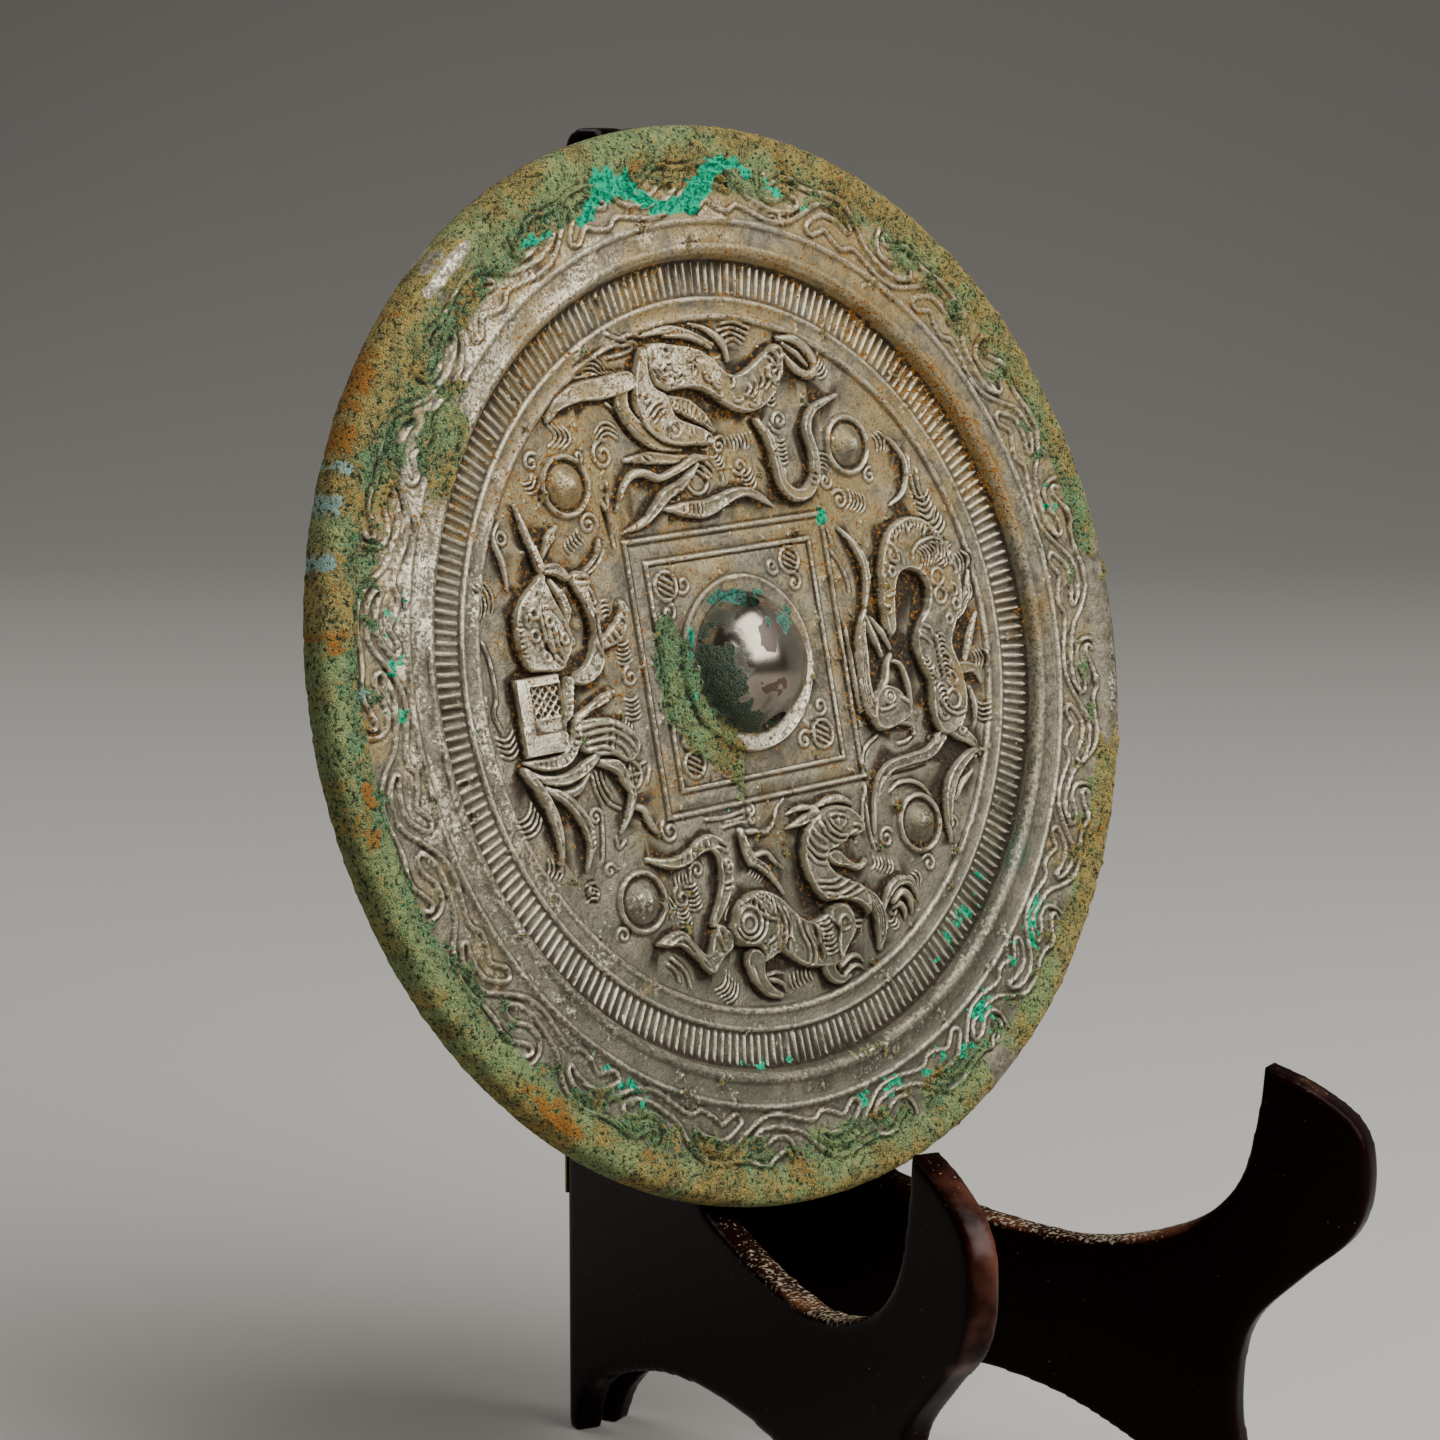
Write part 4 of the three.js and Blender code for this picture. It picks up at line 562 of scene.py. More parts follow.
# %% Left beast
LEFT = {
    "limbs": [
        ([(-46.6, 23), (-47.4, 26), (-48.6, 30), (-49.4, 34.4)],
         [1, 0.9, 0.8, 0.4], [1.8, 1.7, 1.5, 0.9], "plain"),
        ([(-46.6, 22.4), (-43.4, 22.3), (-41, 20.6)], [0.8, 1.3, 0.9], [1.6, 2, 1.8], "feathers"),
        ([(-44.6, 20.4), (-42.9, 17.4), (-42, 14), (-42.4, 11.6)],
         [0.6, 1, 1, 0.4], [1.4, 1.8, 1.8, 1.2], "feathers"),
        ([(-36.4, 20.6), (-33.4, 22.6), (-30.6, 25.2)], [0.8, 0.9, 0.8], [1.5, 1.5, 1.1], "plain"),
        ([(-34.2, 8.2), (-32, 9.2), (-29.6, 11.4), (-28.4, 14)],
         [1.4, 1.9, 1.5, 0.9], [1.6, 1.8, 1.6, 1.2], "plain"),
        ([(-44.6, 2.4), (-45.4, 0), (-45.9, -3), (-47.4, -5)],
         [1.2, 1.3, 1.1, 0.6], [2.1, 2.2, 2.1, 1.5], "bars"),
        ([(-44, -5), (-45.2, -8), (-47.8, -10.6), (-52, -11.2), (-56.8, -10.2)],
         [1, 1.3, 1.4, 1.2, 0.5], [1.7, 1.9, 2, 1.8, 1], "bars"),
        ([(-43.4, -4.2), (-39, -2.4), (-35.6, -1.2), (-33.6, -0.9)],
         [0.9, 0.8, 1.1, 0.5], [1.6, 1.4, 1.7, 1], "plain"),
        ([(-56.4, -11.8), (-53, -13.8), (-48.4, -14.3), (-44, -13), (-40, -11)],
         [0.5, 1, 1.2, 1.3, 0.8], [1.2, 1.7, 1.8, 1.9, 1.6], "plain"),
        ([(-54.4, -14.6), (-50, -16.8), (-45.8, -16.6), (-42.4, -14.2)],
         [0.4, 0.9, 0.9, 0.4], [0.9, 1.3, 1.3, 0.8], "plain"),
        ([(-57.6, -11.6), (-55, -15.4), (-52.8, -20.4), (-51.9, -26), (-52.4, -30)],
         [0.9, 1.2, 1.2, 0.9, 0.4], [1.9, 2, 1.9, 1.5, 0.9], "plain"),
        ([(-53.4, -15.4), (-49.2, -17.8), (-46.4, -21.6), (-45.2, -26.4), (-46.6, -31)],
         [0.8, 1.1, 1.2, 1, 0.4], [1.7, 2, 2, 1.6, 0.9], "plain"),
        ([(-40, -12.6), (-36.4, -14), (-35, -16.6), (-33.8, -19.4), (-35.4, -23), (-37.2, -25.6)],
         [0.8, 1.3, 1, 0.9, 0.8, 0.4], [1.9, 2.1, 1.8, 1.7, 1.5, 0.9], "plain"),
        ([(-33.6, -21.4), (-31.6, -22.4), (-30.4, -25), (-28.4, -27.8)],
         [0.7, 0.9, 0.8, 0.4], [1.3, 1.5, 1.3, 0.8], "plain"),
        ([(-45, 24.6), (-43, 28), (-40.6, 29.6)], [0.4, 1.1, 0.5], [0.9, 1.4, 0.8], "feathers"),
        ([(-54, 20), (-54.4, 25), (-55.6, 29), (-53.4, 32)],
         [0.4, 0.7, 0.7, 0.3], [0.8, 1.1, 1.2, 0.7], "plain"),
    ],
    "plates": [
        ([(-46.9, 22), (-50.2, 19.9), (-53.4, 17.2), (-54.9, 13.8), (-54.9, 9.4), (-53.2, 5.6), (-50, 4.8),
          (-46, 4.4), (-44.2, 5.8), (-42.5, 8.4), (-42, 11.2), (-43.2, 14), (-45, 17.4), (-46, 20)], 2),
        ([(-40.6, 20.6), (-38.2, 21.6), (-35.8, 20.2), (-36.6, 16.6), (-35.2, 13), (-35.4, 9), (-35.2, 5.4),
          (-37.4, 2.4), (-40.6, 1.2), (-43.6, 2), (-43.4, 3.8), (-40.6, 4.8), (-38.4, 7.6), (-37.4, 11),
          (-38, 15), (-39.6, 18)], 1.9),
        ([(-44, -5), (-38, -4.7), (-33.4, -6.2), (-30.2, -9.4), (-31, -12.6), (-33.6, -13.6), (-36.6, -12),
          (-40.4, -11.4), (-44.2, -9.6)], 1.7),
    ],
    "rings": [
        (-50.5, 15.2, 0.95), (-51, 11.3, 0.95), (-47.3, 13.4, 0.85), (-44.4, 10, 0.9), (-49, 7.3, 0.8),
        (-41, 9.2, 0.5), (-32.5, -16, 2.5), (-28.4, 14, 1), (-34.7, -1, 0.9), (-53.4, 29, 1.1),
    ],
    "threads": [
        [(-49.1, 15.8), (-48.6, 10.4), (-47.2, 7.4), (-45, 5.2)],
        [(-48.6, 16), (-46, 15.8), (-43.8, 13), (-42.6, 9.6)], [(-46.2, 12.6), (-46, 9), (-44.9, 6.6)],
        [(-49.6, 17), (-47.6, 19.4), (-46.8, 21.8)], [(-39.5, 20.6), (-36.2, 20.2)],
        [(-39.2, 19.2), (-36, 19)], [(-37.5, 15.6), (-35.4, 18.4), (-34.2, 15.3), (-37.5, 15.6)],
        [(-35.8, 14), (-36, 9.6), (-34.8, 6)], [(-36.8, 13.6), (-36.9, 9), (-35.8, 5.4)],
        [(-37.5, 20.8), (-34, 22.9), (-31.2, 26)], [(-35.4, 20.2), (-30.4, 24.4)],
        [(-33, 23.6), (-31, 26.2), (-30.4, 24.6)], [(-29.8, 12.6), (-28.2, 10)],
        [(-31.2, 11), (-29.6, 8.2)], [(-32.4, 10), (-30.8, 7.4)], [(-33.6, 9.4), (-32.4, 7)],
        [(-44, -6), (-38, -5.8), (-33.4, -7.4), (-30.8, -10)],
        [(-43.6, -7.4), (-37.4, -7.2), (-33.4, -9.4), (-31.4, -12)],
        [(-43.8, -8.8), (-38, -8.7), (-34.6, -10.6), (-33.2, -13)],
        [(-42.6, -10), (-39, -10), (-36, -11.6)], [(-36, -5.4), (-37.4, -11)], [(-35, -16), (-30, -16)],
        [(-32.5, -13.5), (-32.5, -18.5)], [(-40.6, -13.8), (-40.2, -17), (-38.6, -20), (-36, -21.6)],
        [(-39.6, -13.8), (-39.2, -16.6), (-37.6, -19.2)], [(-41.4, -14.4), (-41.2, -17.6), (-40, -20.4)],
        [(-40.8, -22), (-41.4, -26), (-42.4, -30.2)],
        [(-61.4, 12), (-60.3, 8), (-60.2, 2), (-61.3, -1), (-60, -4.6)],
        [(-28.6, 33), (-28, 29), (-27.4, 24)], [(-50.4, -16.4), (-46.6, -20.6), (-45, -24)],
        [(-56.4, -14), (-54.2, -19)], [(-30.4, -14.6), (-28.4, -14)], [(-29, -18), (-27.6, -15)],
        [(-38.4, -26), (-38, -28.2), (-36, -27)], [(-45.6, -21), (-44.4, -24)],
    ],
}
print("left beast:", len(LEFT["limbs"]), "limbs and", len(LEFT["threads"]), "threads")

# %% The four together
BEASTS = {"upper": UPPER, "right": RIGHT, "lower": LOWER, "left": LEFT}
print({name: sum(len(parts) for parts in beast.values()) for name, beast in BEASTS.items()}, "parts")

# %% The latticed chest on the left beast
CHEST, CHEST_HEIGHT = (-51.9, -2.6, 5.1, 6.9), 1.9        # centre and half sizes, mm
PANEL, PANEL_DEPTH = (-50.6, -1.7, 3.4, 4.2), 0.5
LATTICE, BAR_STEP = (-50.7, -0.3, 3.3, 2.9), 1.7


def past_edge(x, y, box):
    """How far a place lies outside a box, in mm, and less than 0 inside it."""
    return np.maximum(np.abs(x - box[0]) - box[2], np.abs(y - box[1]) - box[3])


cells, x, y = window(-58, -46, -10.5, 5.2)
chest = CHEST_HEIGHT * (past_edge(x, y, CHEST) < 0) - PANEL_DEPTH * (past_edge(x, y, PANEL) < 0)
to_frame = past_edge(x, y, LATTICE)
bars = np.maximum(np.abs(np.mod((x + y) / BAR_STEP, 1) - 0.5),
                  np.abs(np.mod((x - y) / BAR_STEP, 1) - 0.5)) > 0.36
chest = chest + (0.5 * bars - 0.3) * (to_frame < -0.1)
chest = chest + 0.35 * np.exp(-((to_frame - 0.15) / 0.25) ** 2) * (chest > 0)
relief[cells] = np.maximum(relief[cells], chest)
print("chest", round(chest.max(), 2), "mm high")

# %% Paint the beasts
for beast in BEASTS.values():
    for corners, high in beast["plates"]:
        plate(corners, high)
    for way, wide, high, skin in beast["limbs"]:
        limb(way, wide, high, skin)
    for x0, y0, radius in beast["rings"]:
        ring(x0, y0, radius)
    for way in beast["threads"]:
        thread(way)
print("beasts stand up to", round(relief[R < 62].max(), 1), "mm high, the knob included")

# %% Arcs on the bodies: centre, radius, from and to in degrees
ARCS = [
    (-11.8, 56.6, 1.6, 200, 330), (-11.2, 55.1, 1.6, 200, 330), (-10.4, 53.7, 1.6, 200, 330),
    (-8, 54.8, 1.3, 190, 340), (-7.6, 53.1, 1.5, 190, 340), (-4.6, 54.4, 1.8, -70, 60),
    (-4.4, 54.1, 1.0, -80, 70), (0.4, 53.2, 1.4, 150, 290), (2.4, 51.9, 1.5, 150, 290),
    (4.6, 51.6, 1.5, -80, 60), (8.4, 49.9, 1.4, -110, 30), (9.4, 50.3, 2.2, -110, 30),
    (12, 51.2, 1.6, -80, 40), (13, 51.6, 2.4, -80, 40), (15.4, 53.9, 1.2, -60, 110),
    (16, 54.2, 2.1, -80, 100), (6.6, 48.9, 1.4, -160, -30), (10.6, 47.9, 1.6, 200, 320),
    (-9.6, 55.9, 0.9, 190, 350), (1.8, 49.9, 1.2, 190, 330), (-16.4, 49.5, 1.0, 90, 260),
    (40.4, 15, 1.3, 120, 300), (42.6, 17.8, 1.3, 80, 250), (46.4, 18.8, 1.3, 60, 220),
    (50.6, 17.6, 1.4, 20, 190), (53.6, 14.4, 1.4, -20, 150), (55.2, 10.4, 1.4, -50, 120),
    (54.6, 6.6, 1.3, -80, 90), (37.4, 10.6, 1.0, 90, 280), (49.6, -6.4, 1.4, -60, 120),
    (50.4, -10.2, 1.4, -60, 120), (47, -8, 1.2, 120, 290), (47.2, -16.2, 1.3, 150, 320),
    (8.2, -53.2, 1.3, 60, 220), (5.8, -51, 1.2, 60, 230), (6, -54.8, 1.2, 60, 230),
    (-13.8, -48.8, 1.2, 180, 340), (-46, -7.4, 1.0, 0, 170), (-49.6, -10.4, 1.0, 10, 180),
    (-47.2, 9.2, 1.1, 120, 300), (-51.6, 14, 1.0, 90, 260),
]
for place in ARCS:
    arc(*place)
print(len(ARCS), "arcs")

# %% Hairs along the backs: first and last place, count, length, and the centre they fan from
MANES = [((41, 20.2), (53.5, 18.6), 13, 1.7, (46, 8)), ((-15.4, -45.6), (-5.6, -42.4), 13, 1.6, (-11, -49))]
for first, last, count, length, centre in MANES:
    polar = [(math.hypot(px - centre[0], py - centre[1]), math.atan2(py - centre[1], px - centre[0]))
             for px, py in (first, last)]
    for share in np.linspace(0, 1, count):
        reach = polar[0][0] * (1 - share) + polar[1][0] * share
        angle = polar[0][1] * (1 - share) + polar[1][1] * share
        hair = [(centre[0] + (reach - k) * math.cos(angle + 0.03 * k),
                 centre[1] + (reach - k) * math.sin(angle + 0.03 * k)) for k in (0.3, length)]
        thread(hair, 0.24, 0.4, 0.16)
print(sum(mane[2] for mane in MANES), "hairs")

# %% Tufts between the beasts: place, heading, count, length, gap, bend
TUFTS = [
    (-26, 55, 60, 4, 5.5, 0.9, 0.25), (-25, 44, 95, 3, 5.5, 1, 0.3), (16.9, 46.6, 85, 5, 3, 0.85, -0.3),
    (17.8, 39.6, -90, 6, 2.6, 0.85, 0.2), (4.6, 40, 5, 6, 2.8, 0.95, 0.1),
    (7.6, 34.4, -70, 4, 3.6, 0.9, 0.25), (0.6, 38.4, -60, 4, 2.6, 0.8, 0.3),
    (27.8, 35.6, -100, 4, 3.2, 0.85, -0.25), (30.4, 53, -60, 4, 3, 0.9, 0.2),
    (33, 26.8, -20, 5, 4.2, 0.95, 0.3), (53, 25.6, -80, 5, 4.4, 1.25, 0.3),
    (60, 11.6, 10, 4, 3.8, 0.95, 0.2), (59.4, 6.2, -15, 4, 3.2, 0.9, 0.2),
    (60.2, -7.4, 0, 4, 3.6, 0.9, 0.25), (47, 13.6, 10, 8, 4.2, 0.95, 0.35),
    (49, -1.8, -88, 9, 3, 0.95, -0.3), (44.6, -5.6, -80, 6, 1.8, 0.95, 0.2),
    (47.2, -11, -80, 5, 2.2, 1, -0.3), (60.4, -16, -100, 4, 3.6, 1, 0.2),
    (-22.6, -37.6, -85, 6, 3.4, 0.85, 0.2), (-25.6, -41, -80, 5, 3.4, 0.85, 0.3),
    (-28, -40.6, 185, 4, 4.2, 0.8, -0.25), (-22.4, -36.2, 180, 5, 1.8, 0.9, 0.2),
    (-19, -56, -50, 5, 5, 0.9, 0.25), (-2, -59.4, 10, 6, 3.2, 1.05, -0.15),
    (24, -41.4, -20, 6, 2.8, 0.95, 0.25), (26.4, -52.6, -60, 3, 2.2, 0.9, 0.3),
    (-35.2, 27.4, 210, 5, 2.6, 0.95, 0.2), (-58, 19.4, 190, 4, 6, 0.95, -0.2),
    (-59.6, -5, -80, 4, 4.4, 1.1, 0.3), (-58.4, -19, -60, 4, 6, 1.1, 0.25), (-55, -29, -20, 4, 3.4, 1, 0.2),
    (-29.4, 4, 90, 5, 3.6, 0.85, -0.2), (-29.4, -2.6, -90, 5, 3.6, 0.85, 0.2),
    (-44.6, -23.6, -85, 5, 2, 0.95, -0.3), (-32.6, -6.2, -40, 4, 2, 0.8, 0.2),
    (7, -49.9, -84, 7, 2.8, 0.95, 0.15), (-7.6, -37.4, -35, 5, 2.4, 0.75, 0.1),
    (-45.8, -33.6, -95, 4, 3.2, 0.9, -0.3), (-45, 38.4, -60, 3, 3.4, 1, 0.3),
    (-38, 45.6, -10, 4, 4.2, 1.15, 0.5), (-9, 48.6, -35, 5, 2, 1, 0.3), (-54, 13.6, -90, 8, 1.8, 0.95, 0),
    (54.6, 21.6, -60, 4, 4.4, 1.2, 0.2), (42.6, 36.6, 10, 3, 3.8, 1, 0.25), (-32, 12.6, 90, 4, 2, 0.9, 0.2),
    (33.4, -46.6, 20, 3, 3, 1, 0.3), (50.8, 14.4, -40, 5, 2.4, 0.95, 0.3),
]
for place in TUFTS:
    tuft(*place)
print(len(TUFTS), "tufts")

# %% Curls of cloud in the gaps: centre, radius, start angle, turns
CURLS = [
    (18.3, 43.2, 2, 200, -1.3), (-26.6, 41, 3, 60, 1.6), (30.6, 26.9, 2.2, 150, -1.4),
    (-25.4, -27.2, 2.4, 120, 1.4), (-25.2, -39.4, 2.3, 100, 1.3), (28.4, -37.4, 2.2, 20, 1.4),
    (-28.7, 1.2, 2.1, 80, 1.3), (-32.8, 29.2, 2.4, -20, 1.4), (-20.6, -35.2, 1.9, 200, -1.3),
    (1.9, 40, 1.8, 60, 1.2), (6.2, 35.9, 1.8, 200, 1.4), (27.7, 30.9, 1.7, 0, -1.2),
    (-42.3, -22, 1.8, 0, 1.3), (-41, -31.8, 1.5, 0, 1.2), (-43.6, 41.4, 2, 30, 1.3),
    (-32.6, 41.4, 1.4, 200, 1.2), (38.6, -44, 2, 150, -1.3), (46.4, -37.4, 1.8, -40, 1.3),
    (-45.4, -35, 1.9, 60, 1.3), (-40.4, -43.6, 1.8, 200, -1.2), (-5.2, -26.8, 1.2, 90, -1.1),
    (-5, -28.5, 1, 90, 1.1), (39.6, 30.6, 1.8, 60, 1.2), (16.6, 47.4, 1.2, 0, 1),
]
for place in CURLS:
    curl(*place)
print(len(CURLS), "curls")

# %% [markdown]
# ## Crust, earth and wear
# Long in the ground, the bronze grew crusts of green and ochre, thick on the rim and beside the knob, with
# vivid turquoise in the troughs of the clouds. Earth and rust specks stayed in the hollows, which are also
# darkened as painted shade, and the ridges are lightened, partly as wear and partly as a painted glint. The
# high parts of the upper left and the band on the left are lightened too, partly as rubbed wear and partly as
# painted light. Each of these could be a texture painted by hand; as masks from 0 to 1 on the canvas they
# follow the relief exactly. Noise in the materials later breaks their edges up.

# %% Softening, noise and thresholds on the canvas
def soften(field, radius_mm):
    """Box blur, three times over, which comes close to a round one."""
    n = max(int(round(radius_mm / CELL / 2)), 1)
    for _ in range(3):
        for axis in (0, 1):
            padded = np.concatenate([np.repeat(field.take([0], axis), n + 1, axis), field,
                                     np.repeat(field.take([-1], axis), n, axis)], axis)
            total = np.cumsum(padded, axis)
            width = 2 * n + 1
            field = (total.take(range(width, total.shape[axis]), axis)
                     - total.take(range(0, total.shape[axis] - width), axis)) / width
    return field


def lumps(size, seed):
    """Smooth random lumps about size mm across, between -1 and 1."""
    count = int(2 * REACH / size) + 3
    lattice = np.random.default_rng(seed).uniform(-1, 1, (count, count))
    place = (AXIS + REACH) / size
    whole = place.astype(int)
    part = place - whole
    part = part * part * (3 - 2 * part)
    a, b = lattice[whole][:, whole], lattice[whole][:, whole + 1]
    c, d = lattice[whole + 1][:, whole], lattice[whole + 1][:, whole + 1]
    across, up = part[None, :], part[:, None]
    return (a * (1 - across) + b * across) * (1 - up) + (c * (1 - across) + d * across) * up


def grain(size, seed):
    """Lumps with two finer layers in them."""
    return sum(lumps(size / 2 ** i, seed + i) * 0.55 ** i for i in range(3))


def step(field, low, high):
    t = np.clip((field - low) / (high - low), 0, 1)
    return t * t * (3 - 2 * t)


big, mid, fine = grain(9, 1), grain(3.4, 11), grain(1.3, 21)
print("noise from", round(fine.min(), 2), "to", round(fine.max(), 2))


# %% Where things lie, round the rim and on the field
def by_turn(*stations):
    """A value round the mirror from (degrees, value) stations, in order of degrees."""
    angles, values = np.array(stations, float).T
    return np.interp(TURN, np.concatenate([angles - 360, angles, angles + 360]), np.tile(values, 3))


def spot(x0, y0, across, up=None):
    """A soft spot on the disc, 1 at its middle."""
    return np.exp(-((GX - x0) / across) ** 2 - ((GY - y0) / (up or across)) ** 2)


def on_rim(turn, r, turn_reach, r_reach):
    """A soft spot that follows the rim, placed by its angle in degrees and its radius."""
    apart = (TURN - turn + 180) % 360 - 180
    return np.exp(-(apart / turn_reach) ** 2 - ((R - r) / r_reach) ** 2)


def stroke(way, width):
    """A brush stroke of stain along a curve, 1 at its middle and 0.37 at width."""
    path = smooth_way(way, 1.0)
    pad = width * 2.2
    low, top = path.min(0) - pad, path.max(0) + pad
    cells, x, y = window(low[0], top[0], low[1], top[1])
    field = np.zeros_like(R)
    field[cells] = np.exp(-(along(path, x, y)[0] / width) ** 2)
    return field


patina = {}
in_field, in_clouds = R < 64, step(R, 81.5, 83) * (1 - step(R, 91.5, 93))
raised = step(relief, 0.9, 1.5) * in_field
trough = 1 - step(relief, RIM_TOP + 0.1, RIM_TOP + 0.4)          # between the cloud lines
print("raised work covers", round(raised.sum() / in_field.sum(), 2), "of the field")

# %% Crust on the rim, over the clouds and beside the knob
rim_cover = by_turn((-180, 0.97), (-120, 0.95), (-82, 0.95), (-70, 0.85), (-62, 0.4), (-56, 0.9), (-19, 0.9),
                    (-14, 0.25), (4, 0.3), (10, 0.9), (60, 0.95), (118, 0.95), (124, 0.6), (133, 0.65),
                    (138, 0.95), (180, 0.97))
rim = step(R, 90.8, 93.0)
crust = rim * step(rim_cover + 0.3 * mid, 0.25, 0.7)
spill = by_turn((-180, 0.2), (-150, 0.3), (-140, 0.42), (-125, 0.55), (-100, 0.55), (-85, 0.7), (-72, 0.55),
                (-60, 0.3), (-30, 0.4), (-12, 0.3), (0, 0.2), (30, 0.35), (60, 0.5), (80, 0.72), (118, 0.78),
                (135, 0.9), (150, 0.85), (158, 0.45), (180, 0.35))
reach_in = step(R, 81.0, 91.5) * (1 - rim)
spilt = step(spill * (0.5 + 0.8 * reach_in) + 0.4 * mid + 0.25 * fine, 0.42, 0.62)
crust = np.maximum(crust, reach_in * spilt)
crust = np.maximum(crust, step(on_rim(143, 81, 8, 6) + on_rim(148, 77, 5, 4) * 0.8 + 0.3 * mid, 0.45, 0.7))
FLOW_WAY = [(-19, 8), (-18, 2), (-16.5, -5), (-13, -10), (-9.5, -15), (-8, -19), (-6.8, -23.6)]
FLOW_HALF_WIDTHS = [2.6, 4.6, 5, 5.5, 6, 4.6, 3, 0.8]        # mm, of the tongue beside the knob
cells, x, y = window(-32, 4, -30, 16)
dist, _, run, length = along(smooth_way(FLOW_WAY, 0.6), x, y)
flow = np.zeros_like(R)
flow[cells] = np.interp(dist - evenly(FLOW_HALF_WIDTHS, run / length), [-2.5, 0, 1.2], [1, 0.55, 0])
flow = step(flow + 0.3 * mid + 0.25 * fine, 0.35, 0.62) * (R > KNOB_RADIUS)
patina["crust"] = crust = np.maximum(crust, flow)
print("crust covers", round(crust.mean() * 4 * REACH ** 2 / (math.pi * RIM_RADIUS ** 2), 2), "of the disc")

# %% Colours of the crust
patina["ochre"] = np.clip(
    0.45 + by_turn((-180, -0.25), (-150, -0.05), (-130, 0.05), (-110, 0.05), (-75, 0.1), (-60, 0.15),
                   (-35, 0.4), (-17, 0.35), (0, -0.1), (12, -0.3), (30, 0.15), (60, 0.2), (90, 0.1),
                   (110, 0.0), (125, 0.05), (140, 0.5), (150, 0.1), (165, 0.1), (180, -0.25))
    + 0.6 * big + 0.45 * mid + 0.25 * step(R, 94, 98) - 0.3 * in_clouds * step(R, 82, 88)
    + on_rim(140, 100, 14, 3.5), 0, 1)
patina["emerald"] = np.clip(
    by_turn((-180, 0.95), (-150, 0.6), (-120, 0.35), (-90, 0.45), (-60, 0.4), (-30, 0.2), (0, 0.5),
            (14, 0.65), (30, 0.35), (60, 0.2), (100, 0.3), (130, 0.45), (150, 0.95), (180, 0.95))
    + 0.25 * in_clouds + 0.5 * big + 0.35 * mid - 0.55 * step(R, 94.5, 98) + 0.4 * on_rim(140, 91, 20, 5)
    + 0.2 * flow * step(GY, -6, 3), 0, 1)
patina["ochre"] *= 1 - 0.25 * patina["emerald"]
# some orange in all the crust, and more in a few spots of the rim
patina["orange"] = step(on_rim(191, 96.5, 3, 2.4) + on_rim(186, 95, 2, 2) + on_rim(225, 95, 4, 3)
                        + on_rim(171, 97, 2.4, 2) + on_rim(143, 99, 11, 1.8) + on_rim(-131, 97, 5, 1.8) * 0.8
                        + on_rim(-28, 95, 3, 2) + on_rim(98, 92, 8, 1.6) * 0.7 + 0.35 * mid + 0.2 * fine,
                        0.45, 0.95)
patina["orange"] = np.maximum(patina["orange"], np.clip(0.3 + 0.2 * big, 0, 1))
patina["pale_blue"] = step(on_rim(163, 98, 1.6, 2) + on_rim(157, 98.4, 1.4, 1.8) + on_rim(153, 98, 1.2, 1.6)
                           + on_rim(-76, 81, 1.2, 1) + on_rim(-67, 82, 1, 1) + on_rim(176, 92, 2, 1.6) * 0.8
                           + 0.35 * fine + 0.2 * mid, 0.5, 0.95)
print("ochre", round(patina["ochre"].mean(), 2), "emerald", round(patina["emerald"].mean(), 2))

# %% Vivid turquoise, mostly in the troughs
TURQUOISE_STROKES = [  # way, width, strength
    ([(-20, 90), (-14.5, 88.4), (-10, 85.4), (-4.5, 83.9), (0.8, 85.4), (4.3, 88.2), (7.8, 90.6), (11, 91.4)],
     1.9, 1.3),
    ([(-25, 82.4), (-22.5, 85), (-18.5, 88)], 2.0, 1.1), ([(1.5, 83.2), (4, 85.2), (7, 87.6)], 1.3, 1.1),
    ([(13.6, 91.6), (15.6, 90.6), (17, 89)], 1.4, 1), ([(21.4, 88), (22.6, 86), (24.6, 84.4)], 1.2, 1),
    ([(28.6, 82.4), (30.4, 81.8)], 0.8, 0.9), ([(-18, 93.4), (-13, 91.6)], 1.6, 0.5),
    ([(-40, 79.2), (-34, 80.6), (-28, 81)], 1.6, 0.62),
]
strokes = sum(stroke(way, width) * strength for way, width, strength in TURQUOISE_STROKES)
scatter = (on_rim(-52, 71, 11, 2.6) * 0.6 + on_rim(-100, 73.5, 10, 0.8) * 0.6 + on_rim(-62, 86, 9, 5) * 0.6
           + on_rim(-80, 84, 9, 3) * 0.55 + on_rim(-125, 83, 6, 4) * 0.55 + on_rim(-44, 86, 7, 4) * 0.6
           + on_rim(12, 87, 6, 4) * 0.5 + on_rim(172, 84, 14, 3) * 0.5 + spot(-14.5, -4, 2.6, 4) * 0.5)
spots = (spot(25, 24, 1.7) + spot(-12.6, 6.6, 2.2, 2.0) * 0.8 + spot(-10, -23, 3, 3) * 0.45
         + spot(19.6, 33.6, 1.3) * 0.8 + spot(21.4, 30, 1.4) * 0.7)
turquoise = np.clip(strokes, 0, 1.3) * (0.7 + 0.3 * trough) + scatter * (0.55 + 0.45 * trough) + spots
patina["turquoise"] = step(turquoise + 0.2 * mid + 0.28 * fine, 0.42, 0.78)
print("turquoise covers", round(patina["turquoise"].mean(), 4))

# %% Earth, rust specks, wear partly painted as light, and stains
foot = np.clip((soften(relief, 1.0) - relief) / 0.4, 0, 1)             # the foot of each wall
inside_rim = R < 93
patina["earth"] = np.clip(
    0.14 + 0.0035 * (GY + 10) + 0.2 * spot(-40, 40, 30) + 0.2 * spot(-5, 55, 34, 14)
    + 0.1 * spot(-45, 5, 20, 30) + 0.22 * spot(36, -14, 14, 16) + 0.16 * spot(42, 14, 16, 16)
    + 0.12 * spot(8, -42, 7, 6) + 0.3 * foot * in_field + 0.24 * big + 0.16 * mid, 0, 0.46)
